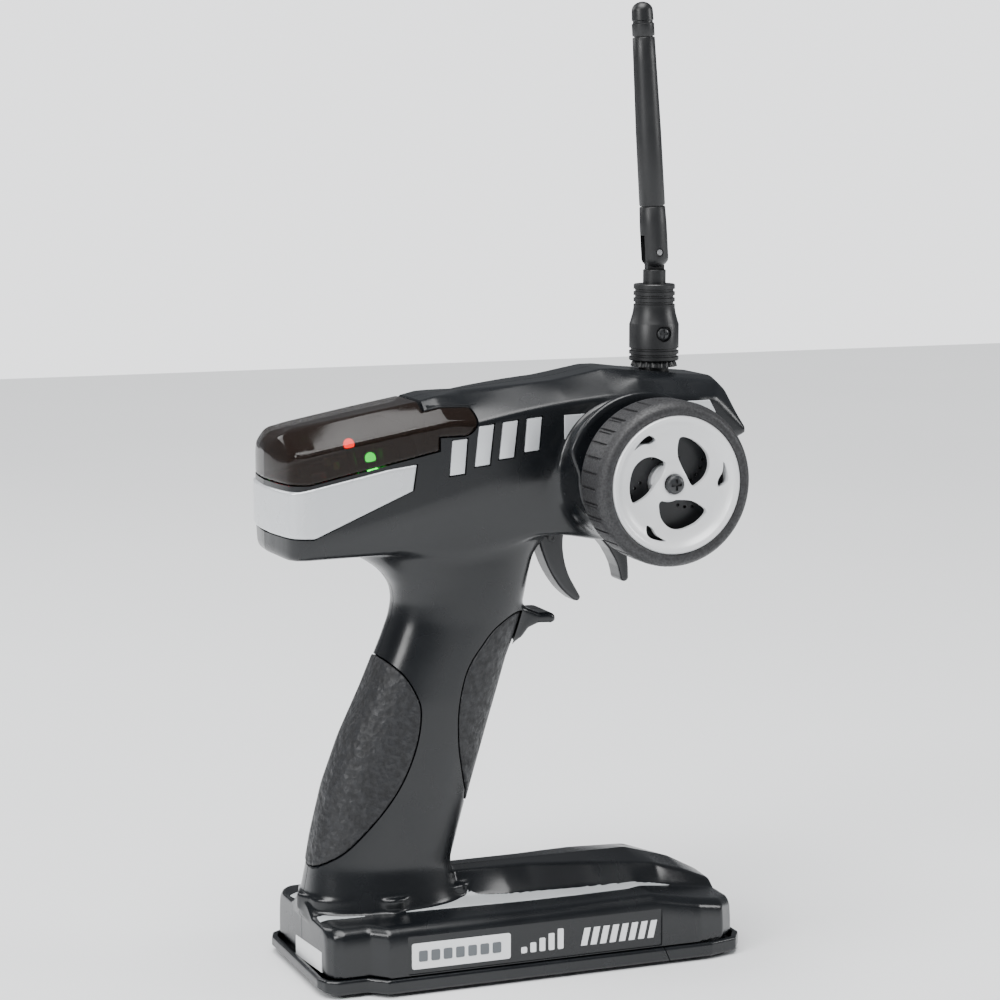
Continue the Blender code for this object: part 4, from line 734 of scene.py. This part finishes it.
# ---------------- printed foils
ROOF_FOIL = mm((-70.2, -16.4), (-61.3, -17.9), (-48.4, -19), (-35.3, -19.8), (-20.1, -21.3), (-1.2, -22.9),
               (15.8, -23.5), (34.6, -23.6), (46.1, -19.8), (54, -17.4), (41.9, -17.9), (30.2, -17.2),
               (18.9, -16.2), (7.8, -15.1), (-3.4, -13.9), (-11.6, -11.5), (-19.5, -8), (-30, -7),
               (-54, -14), (-65.2, -12.8), (-69.8, -11.4))
PANELS = (mm((11.9, 182.7), (24, 183.1), (18, 174.8), (12, 174.7)),
          mm((54, 185.6), (64, 185.6), (66.5, 181.4), (64, 177), (60, 177)))
RAISED = 0.0002  # a foil stands this proud


def foil(name, grid, field, edge, look):
    """A thin skin over a field, cut to an edge field."""
    skin = np.maximum(field - RAISED, -(field + 0.0007))
    present(solid(name, grid, np.maximum(skin, edge), look), "housing", slot="silver_paint", angle=50)


def foils():
    for side, label in ((1, "right"), (-1, "left")):
        ends = sorted((-side * 0.0050, -side * 0.0250))
        grid = Grid((-0.0715, ends[0], 0.0180), (0.0560, ends[1], 0.0300), FINE)
        outline = [(x, side * y) for x, y in ROOF_FOIL]
        foil("roof_foil_" + label, grid, base_field(grid), outline_field(outline, grid.x, grid.y), PALE_GREY)
        ends = sorted((-side * 0.0190, -side * 0.0232))
        for i, outline in enumerate(PANELS):
            xs, zs = [x for x, _ in outline], [z for _, z in outline]
            grid = Grid((min(xs) - 0.001, ends[0], min(zs) - 0.001),
                        (max(xs) + 0.001, ends[1], max(zs) + 0.001), 0.0002)
            foil("side_panel_%s_%d" % (label, i + 1), grid, head_field(grid),
                 outline_field(outline, grid.x, grid.z), SILVER)


def rounded(low, high, radius, steps=5):
    """The outline of a rectangle with round corners."""
    (u0, v0), (u1, v1) = low, high
    corners = ((u1 - radius, v1 - radius, 0), (u0 + radius, v1 - radius, 90), (u0 + radius, v0 + radius, 180),
               (u1 - radius, v0 + radius, 270))
    return [p for u, v, a in corners for p in arc((u, v), radius, a, a + 90, steps)]


def mark(name, outline, look, near, far=-0.0347):
    present(prism(name, outline, "Y", near, far, look), "housing")


def labels():
    """Blank labels with plain bars where the real ones carry words."""
    plate = prism("side_plate", rounded((-0.0455, 0.0084), (-0.0117, 0.0169), 0.0008), "Y", -0.0352, -0.0346,
                  WHITE)
    present(plate, "housing", "side_label", slot="white_plastic")
    for i in range(7):
        left = -0.0432 + 0.0042 * i
        mark("plate_bar_%d" % (i + 1), rounded((left, 0.0108), (left + 0.0030, 0.0144), 0.0005), INK, -0.0353,
             -0.0353 + 0.0003)
    for i in range(5):
        left = -0.0080 + 0.0032 * i
        bar = rounded((left, 0.0096), (left + 0.0020, 0.0116 + 0.0012 * i), 0.0004)
        mark("signal_bar_%d" % (i + 1), bar, WHITE, -0.0352)
    for i in range(8):
        left = 0.0130 + 0.0034 * i
        mark("stripe_%d" % (i + 1), [(left, 0.0098), (left + 0.0021, 0.0098), (left + 0.0034, 0.0156),
                                     (left + 0.0013, 0.0156)], WHITE, -0.0352)
    sticker = mm((6.1, 11.2), (-21.4, 13.1), (-21.4, 6.5), (6.1, 4.6))
    present(prism("rear_sticker", sticker, "X", BASE_REAR - 0.0002, BASE_REAR + 0.0004, WHITE), "housing")


# ---------------- wheel
def at_wheel(distance):
    return Vector((WHEEL.x, -distance, WHEEL.z))


def on_wheel(name, profile, look, steps=96, closed=True, modulate=None):
    """A turned piece on the steering axis; heights are distances from the middle plane."""
    return turned(name, profile, at_wheel(0), (0, -1, 0), look, steps, closed, modulate)


def wheel_outline(polar, turn):
    return [(WHEEL.x + r / 1000 * math.cos(math.radians(a + turn)),
             WHEEL.z + r / 1000 * math.sin(math.radians(a + turn))) for r, a in polar]


def steering_wheel():
    rim = on_wheel("rim", [
        *mm((3, 59.6), (3.4, 60), (4.6, 60), (5.6, 59.4), (8, 59.1), (12, 59.3), (16, 59.8), (17.6, 60.4),
            (19, 61.2), (19.7, 62.1), (20.3, 62.6)),
        (0.0213, WHEEL_FACE), (RIM_RADIUS - 0.0002, WHEEL_FACE - 0.0003), (RIM_RADIUS, 0.0620),
        (RIM_RADIUS, 0.0450), (0.0203, 0.0450), (0.0203, 0.0572), (0.0196, 0.0578), (0.0062, 0.0574),
        (0.0058, 0.0480), (0.0032, 0.0480), (0.0032, 0.0578), (0.0030, 0.0578)], RIM_WHITE)
    for turn in (0, 120, 240):
        for polar in (BEAN, SLIT):
            cut(rim, prism("opening", softened(wheel_outline(polar, turn), 4), "Y", -0.0660, -0.0560))
    bevelled(rim, 0.0004, 3, 50)
    present(rim, "steering_wheel", "wheel_rim", slot="silver_paint", angle=40)
    tyre_profile = [
        (RIM_RADIUS + 0.0001, 0.0622), (0.0226, 0.0626), (0.0236, WHEEL_FACE),
        *mm((24.5, 62.4), (25.2, 61.7), (25.7, 60.8), (26.1, 60)),
        (TYRE_RADIUS, 0.0590), (TYRE_RADIUS, 0.0560), (TYRE_RADIUS, 0.0520),
        *mm((26.2, 48.5), (26, 47.2), (25.6, 45.8), (25, 44.6), (24.3, 43.4), (23.2, 42.6)),
        (RIM_RADIUS + 0.0001, 0.0428)]
    count = 34

    def groove(angle, radius, height):
        place = (angle * count / (2 * math.pi)) % 1.0
        nick = 0.34 < place < 0.40 and int(angle * 2.7) % 3 == 0
        depth = 0.0008 if 0.10 < place < 0.24 else (0.0004 if nick else 0)
        reach = min(max((height - 0.0466) / 0.0010, 0), 1) * min(max((0.0592 - height) / 0.0010, 0), 1)
        return -depth * reach

    on = on_wheel("tyre_tread", tyre_profile, TYRE, count * 16, True, groove)
    present(on, "steering_wheel", "tyre", slot="tyre_rubber", angle=35)
    disc = on_wheel("drilled_disc", mm((19.9, 53.5), (19.9, 52), (6.2, 52), (6.2, 53.5)), GREY, 72)
    holes = []
    for arm in range(6):
        for k in range(6):
            a, r = math.radians(60 * arm + 9 * k), 0.0088 + 0.0019 * k
            x, z = WHEEL.x + r * math.cos(a), WHEEL.z + r * math.sin(a)
            holes.append(rod("hole", (x, -0.0510, z), (x, -0.0545, z), 0.00055, None, 12))
    cut(disc, *holes)
    present(disc, "steering_wheel", "brake_disc", slot="dark_grey_plastic")
    screw = on_wheel("wheel_screw_head", [(0, 0.0622), (0.0018, 0.0621), (0.0026, 0.0617), (0.0030, 0.0612),
                                          (0.0030, 0.0605), (0.0011, 0.0605), (0.0011, 0.0490), (0, 0.0490)],
                     GREY, 48, False)
    for a, b in ((0.0018, 0.00045), (0.00045, 0.0018)):
        cut(screw, box("cross", (WHEEL.x - a, -0.0640, WHEEL.z - b), (WHEEL.x + a, -0.0613, WHEEL.z + b)))
    present(screw, "steering_wheel", "wheel_screw", slot="dark_grey_plastic")


# ---------------- trigger and antenna
def trigger():
    grid = Grid((0.0090, -0.0060, 0.1160), (0.0300, 0.0060, 0.1530), 0.0003)
    field = plate_field(grid, softened(TRIGGER_OUTLINE, 3), TRIGGER_HALF, 0.0014)
    piece = solid("trigger_lever", grid, field, GREY)
    across = Vector((0, 0.02, 0))
    cut(piece, rod("bore", TRIGGER_PIVOT - across, TRIGGER_PIVOT + across, 0.00155))
    for side, label in ((-1, "right"), (1, "left")):
        end = Vector((0.0148, side * (TRIGGER_HALF + 0.0004), 0.1402))
        profile = mm((0, 2), (1.6, 2), (1.6, 0.3), (1.3, 0), (0.7, 0), (0.6, 0.3), (0, 0.3))
        boss = turned("trigger_boss_" + label, profile, end, (0, -side, 0), GREY, 32)
        present(boss, "throttle_trigger", slot="dark_grey_plastic")
    present(piece, "throttle_trigger", "trigger", slot="dark_grey_plastic", angle=50)


def leaned(shape):
    pin = Vector((ANTENNA_X, 0, ANTENNA_PIN_Z))
    lean = Matrix.Translation(pin) @ Matrix.Rotation(-ANTENNA_LEAN, 4, "Y") @ Matrix.Translation(-pin)
    shape.data.transform(lean)
    return shape


def antenna():
    foot, up, pin_z = Vector((ANTENNA_X, 0, 0)), (0, 0, 1), ANTENNA_PIN_Z
    teeth = 24

    def knurl(angle, radius, height):
        return -0.0004 * (0.5 + 0.5 * math.cos(teeth * angle)) if height > 0.1950 and radius > 0.0070 else 0.0

    collar = mm((2.2, 197), (7, 197), (7.4, 196.7), (7.8, 195.5), (7.8, 195.3), (5, 195.1), (5, 188),
                (2.2, 188))
    socket = turned("antenna_collar", collar, foot, up, MATT_BLACK, teeth * 6, True, knurl)
    present(socket, "housing", "antenna_socket", slot="black_plastic")
    rings = [*mm((0, 227.4), (3.6, 227.4), (3.8, 227.2), (3.8, 222.8), (6.6, 222.7), (6.9, 222.4))]
    for z in (0.2206, 0.2185, 0.2164):
        rings += [(0.0069, z + 0.0005), (0.0064, z + 0.0003), (0.0064, z - 0.0003), (0.0069, z - 0.0005)]
    rings += [(0.0069, 0.2148), (0.0072, 0.2130), (0.0081, 0.2098), (0.0083, 0.2094), (0.0083, 0.2018)]
    for z in (0.2010, 0.1990):
        rings += [(0.0083, z + 0.0005), (0.0077, z + 0.0003), (0.0077, z - 0.0003), (0.0083, z - 0.0005)]
    rings += [(0.0083, 0.1976), (0.0080, 0.1973), (0.0019, 0.1973), (0.0019, 0.1900), (0, 0.1900)]
    swivel = turned("antenna_base", rings, foot, up, MATT_BLACK, 64)
    tongue = [(ANTENNA_X - 0.0030, 0.2260), (ANTENNA_X + 0.0030, 0.2260),
              *arc((ANTENNA_X, pin_z), 0.0030, 0, 180, 17)]
    join(swivel, prism("tongue", tongue, "Y", -0.0014, 0.0014, MATT_BLACK))
    side, pin = Vector((0, 0.0046, 0)), Vector((ANTENNA_X, 0, pin_z))
    front = Vector((ANTENNA_X, -0.0083, 0.2065))
    cut(swivel, rod("bore", pin - side, pin + side, 0.0013),
        rod("screw_seat", front - Vector((0, 0.0010, 0)), front + Vector((0, 0.0012, 0)), 0.0027))
    present(swivel, "antenna_base", "antenna_swivel", slot="black_plastic")
    screw = turned("antenna_base_screw", mm((0, 0.9), (1.4, 0.8), (2.1, 0.4), (2.3, 0), (0, 0)),
                   front + Vector((0, 0.0011, 0)), (0, -1, 0), GREY, 40)
    for a, b in ((0.0014, 0.00035), (0.00035, 0.0014)):
        cut(screw, box("cross", (front.x - a, front.y - 0.0010, front.z - b),
                       (front.x + a, front.y + 0.0006, front.z + b)))
    present(screw, "antenna_base", slot="dark_grey_plastic")
    knuckle = turned("antenna_joint", [
        (r, pin_z + h) for r, h in mm((0, 15.1), (4.1, 15.1), (4.3, 14.8), (4.5, 9), (4.5, -2), (4.3, -3),
                                      (3.4, -4.1), (1.8, -5), (0, -5.3))], foot, up, MATT_BLACK, 64)
    cut(knuckle, box("slot", (ANTENNA_X - 0.0100, -0.0017, pin_z - 0.0100),
                     (ANTENNA_X + 0.0034, 0.0017, pin_z + 0.0058)),
        rod("bore", pin - side * 2, pin + side * 2, 0.0013))
    present(leaned(knuckle), "antenna", "antenna_knuckle", slot="black_plastic")
    top = pin_z + ANTENNA_LENGTH
    mast = [(0, top - 0.0106), (0.0031, top - 0.0106), (0.0031, top - 0.0115), (0.0035, top - 0.0115),
            (0.0037, top - 0.0118)]
    mast += [(0.0037 + 0.0005 * t, top - 0.0120 - 0.0300 * t) for t in (0.25, 0.5, 0.75, 1.0)]
    mast += [(r, pin_z + h) for r, h in mm((4.3, 15.8), (4.1, 15.4), (3.6, 15.4), (3.6, 14.6), (0, 14.6))]
    whip = leaned(turned("antenna_whip", mast, foot, up, MATT_BLACK, 64))
    present(whip, "antenna", "antenna_mast", slot="rubber")
    cap = [(0, top)] + [(0.0035 * math.sin(t), top - 0.0030 + 0.0030 * math.cos(t)) for t in
                        (math.radians(a) for a in range(12, 91, 13))]
    cap += [(0.0036, top - 0.0060), (0.0033, top - 0.0063), (0.0033, top - 0.0069), (0.0037, top - 0.0072),
            (0.0037, top - 0.0109), (0.0035, top - 0.0112), (0, top - 0.0112)]
    tip = leaned(turned("antenna_tip", cap, foot, up, MATT_BLACK, 64))
    present(tip, "antenna", "antenna_cap", slot="rubber")


# ---------------- base
def tray_piece(name, outline, node, body):
    both = list(TRAY_PLAN) + [(x, -y) for x, y in reversed(TRAY_PLAN)]
    grid = Grid((-0.0750, -0.0372, 0.0002), (0.0750, 0.0372, 0.0070), 0.0005)
    plan = outline_field(both, grid.x, grid.y)
    field = smooth_max(plan, np.abs(grid.z - (TRAY_LOW + TRAY_TOP) / 2) - (TRAY_TOP - TRAY_LOW) / 2, 0.0009)
    field = np.maximum(field, -np.maximum(plan + 0.0020, TRAY_FLOOR - grid.z))
    piece = solid(name, grid, field, BLACK)
    cut(piece, slab([(-0.0800, -0.0010), (-0.0690, -0.0010), (-0.0690, TRAY_LOW),
                     (-0.0745, TRAY_LOW + 0.0018), (-0.0800, TRAY_LOW + 0.0018)], 0.0500))
    change(piece, "INTERSECT", slab(outline, 0.0500))
    present(piece, body, node, slot="black_plastic", angle=48)


def base():
    x_low, z_low, x_high, z_high = DOOR_SPLIT + 0.0025, -0.0010, DOOR_SPLIT - 0.0010, TRAY_TOP + 0.0010
    tray_piece("battery_hatch", [(-0.0900, z_low), (x_low, z_low), (x_high, z_high), (-0.0900, z_high)],
               "battery_door", "door")
    tray_piece("front_plate", [(x_low + GAP, z_low), (0.0900, z_low), (0.0900, z_high),
                               (x_high + GAP, z_high)], "base_front_plate", "housing")
    for i, (x, y) in enumerate(((-0.0580, -0.0240), (-0.0580, 0.0240), (0.0560, -0.0270), (0.0560, 0.0270))):
        foot = turned("foot_pad_%d" % (i + 1), mm((0, 0.9), (5, 0.9), (5, 0.3), (4.7, 0), (0, 0)), (x, y, 0),
                      (0, 0, 1), FOOT, 48)
        present(foot, "door" if i < 2 else "housing", "foot_%d" % (i + 1), slot="rubber")


# ---------------- lamps under the cover
def on_panel(x, y, height):
    """A point at a height over the tilted control panel."""
    up = Vector((-math.sin(PANEL_TILT), 0, math.cos(PANEL_TILT)))
    return Vector((x, y, PANEL_POINT.z + math.tan(PANEL_TILT) * (x - PANEL_POINT.x))) + up * height


def lamps():
    """Each lamp is a dark stem with a glowing lens on its end."""
    for node, x, top, look, slot in (("power_lamp", -0.0565, 0.0118, RED, "red_lens"),
                                     ("status_lamp", -0.0505, 0.0058, GREEN, "green_lens")):
        low, high = on_panel(x, -0.0140, -0.0047), on_panel(x, -0.0140, top - 0.0028)
        length = (high - low).length
        stem = turned(node + "_stem", [(0, length), (0.0012, length), (0.0015, 0), (0, 0)], low, high - low,
                      PANEL_BLACK, 32)
        present(stem, "housing", slot="black_plastic")
        dome = [math.radians(12 * i) for i in range(1, 8)]
        lens = [(0, 0.0028), *((0.0017 * math.sin(a), 0.0011 + 0.0017 * math.cos(a)) for a in dome),
                (0.0017, 0.0003), (0.0015, 0), (0, 0)]
        present(turned(node + "_lens", lens, high, high - low, look, 40), "housing", node, slot=slot)


# ---------------- parts that keep the CAD's shape
KEPT = (
    (STEEL, "steering_shaft", "steering_spring", "steering_potentiometer", "trigger_pin", "trigger_spring",
     "antenna_hinge_pin", "body_screw"),
    (BRASS, "battery_contacts"), (SLEEVE, "battery_cell"), (BOARD, "circuit_board"),
    (WHITE, "steering_bush", "bind_button", "steering_reverse_switch", "throttle_reverse_switch"),
    (PANEL_BLACK, "battery_holder", "throttle_potentiometer", "control_panel", "charge_jack", "power_switch",
     "steering_trim_knob", "throttle_trim_knob", "dual_rate_knob"),
)


def kept_parts():
    for look, *starts in KEPT:
        for name, node in NODES.items():
            if name.startswith(tuple(starts)):
                node.data.materials.clear()
                node.data.materials.append(look)


# ---------------- studio
# Each softbox's place, width and power in watts.
SOFTBOXES = (("key", (-0.95, -0.45, 0.60), 0.40, 7.0), ("fill", (0.95, -0.45, 0.50), 0.35, 4.0),
             ("top", (0.05, 0.05, 1.05), 0.50, 4.0), ("back", (-0.5, 0.8, 0.7), 0.5, 3.0))


def studio():
    floor = add("studio_floor", mesh_from("studio_floor", [(-2, -2, 0), (2, -2, 0), (2, 2, 0), (-2, 2, 0)],
                                          np.array([[0, 1, 2, 3]])))
    paper = Look("studio_paper", (0.86, 0.87, 0.88), 0.9)
    paper.vary(paper.noise(0.3), (0.85, 0.86, 0.87), (0.87, 0.88, 0.89))
    floor.data.materials.append(paper.material)
    world = bpy.data.worlds.new("studio_air")
    world.use_nodes = True
    nodes, links = world.node_tree.nodes, world.node_tree.links
    backdrop, room = nodes.new("ShaderNodeBackground"), nodes["Background"]
    for air, colour, strength in ((backdrop, (0.97, 0.98, 1.0, 1), 2.2), (room, (0.92, 0.95, 1.0, 1), 0.20)):
        air.inputs["Color"].default_value, air.inputs["Strength"].default_value = colour, strength
    either = nodes.new("ShaderNodeMixShader")
    links.new(nodes.new("ShaderNodeLightPath").outputs["Is Camera Ray"], either.inputs["Fac"])
    links.new(room.outputs["Background"], either.inputs[1])
    links.new(backdrop.outputs["Background"], either.inputs[2])
    links.new(either.outputs["Shader"], nodes["World Output"].inputs["Surface"])
    bpy.context.scene.world = world
    data = bpy.data.lights.new("light_ceiling", "SUN")
    data.energy, data.angle = 4.2, math.radians(50)
    lamp = bpy.data.objects.new("light_ceiling", data)
    lamp.matrix_world = Matrix.Rotation(math.radians(-14), 4, "Y") @ Matrix.Rotation(math.radians(16), 4, "X")
    bpy.context.scene.collection.objects.link(lamp)
    centre = Vector((0, 0, 0.14))
    for name, place, size, power in SOFTBOXES:
        data = bpy.data.lights.new("light_" + name, "AREA")
        data.shape, data.size, data.energy = "SQUARE", size, power
        lamp = bpy.data.objects.new("light_" + name, data)
        facing = (Vector(place) - centre).to_track_quat("Z", "Y").to_matrix().to_4x4()
        lamp.matrix_world = Matrix.Translation(place) @ facing
        bpy.context.scene.collection.objects.link(lamp)


def photo_camera():
    turn, rise = math.radians(21.424), math.radians(8.122)
    back = Vector((-math.sin(turn) * math.cos(rise), -math.cos(turn) * math.cos(rise), math.sin(rise)))
    right = Vector((math.cos(turn), -math.sin(turn), 0))
    up = back.cross(right)
    data = bpy.data.cameras.new("photo_camera")
    data.lens, data.sensor_width = 100.89, 36.0
    data.clip_start = 0.01
    camera = bpy.data.objects.new("photo_camera", data)
    basis = Matrix((right, up, back)).transposed().to_4x4()
    camera.matrix_world = Matrix.Translation((-0.3349, -0.8494, 0.2831)) @ basis
    bpy.context.scene.collection.objects.link(camera)
    bpy.context.scene.camera = camera


photo_camera()
studio()
housing()
guard()
foils()
labels()
silver_band()
gill_trims()
flip_cover()
steering_wheel()
trigger()
antenna()
base()
lamps()
kept_parts()
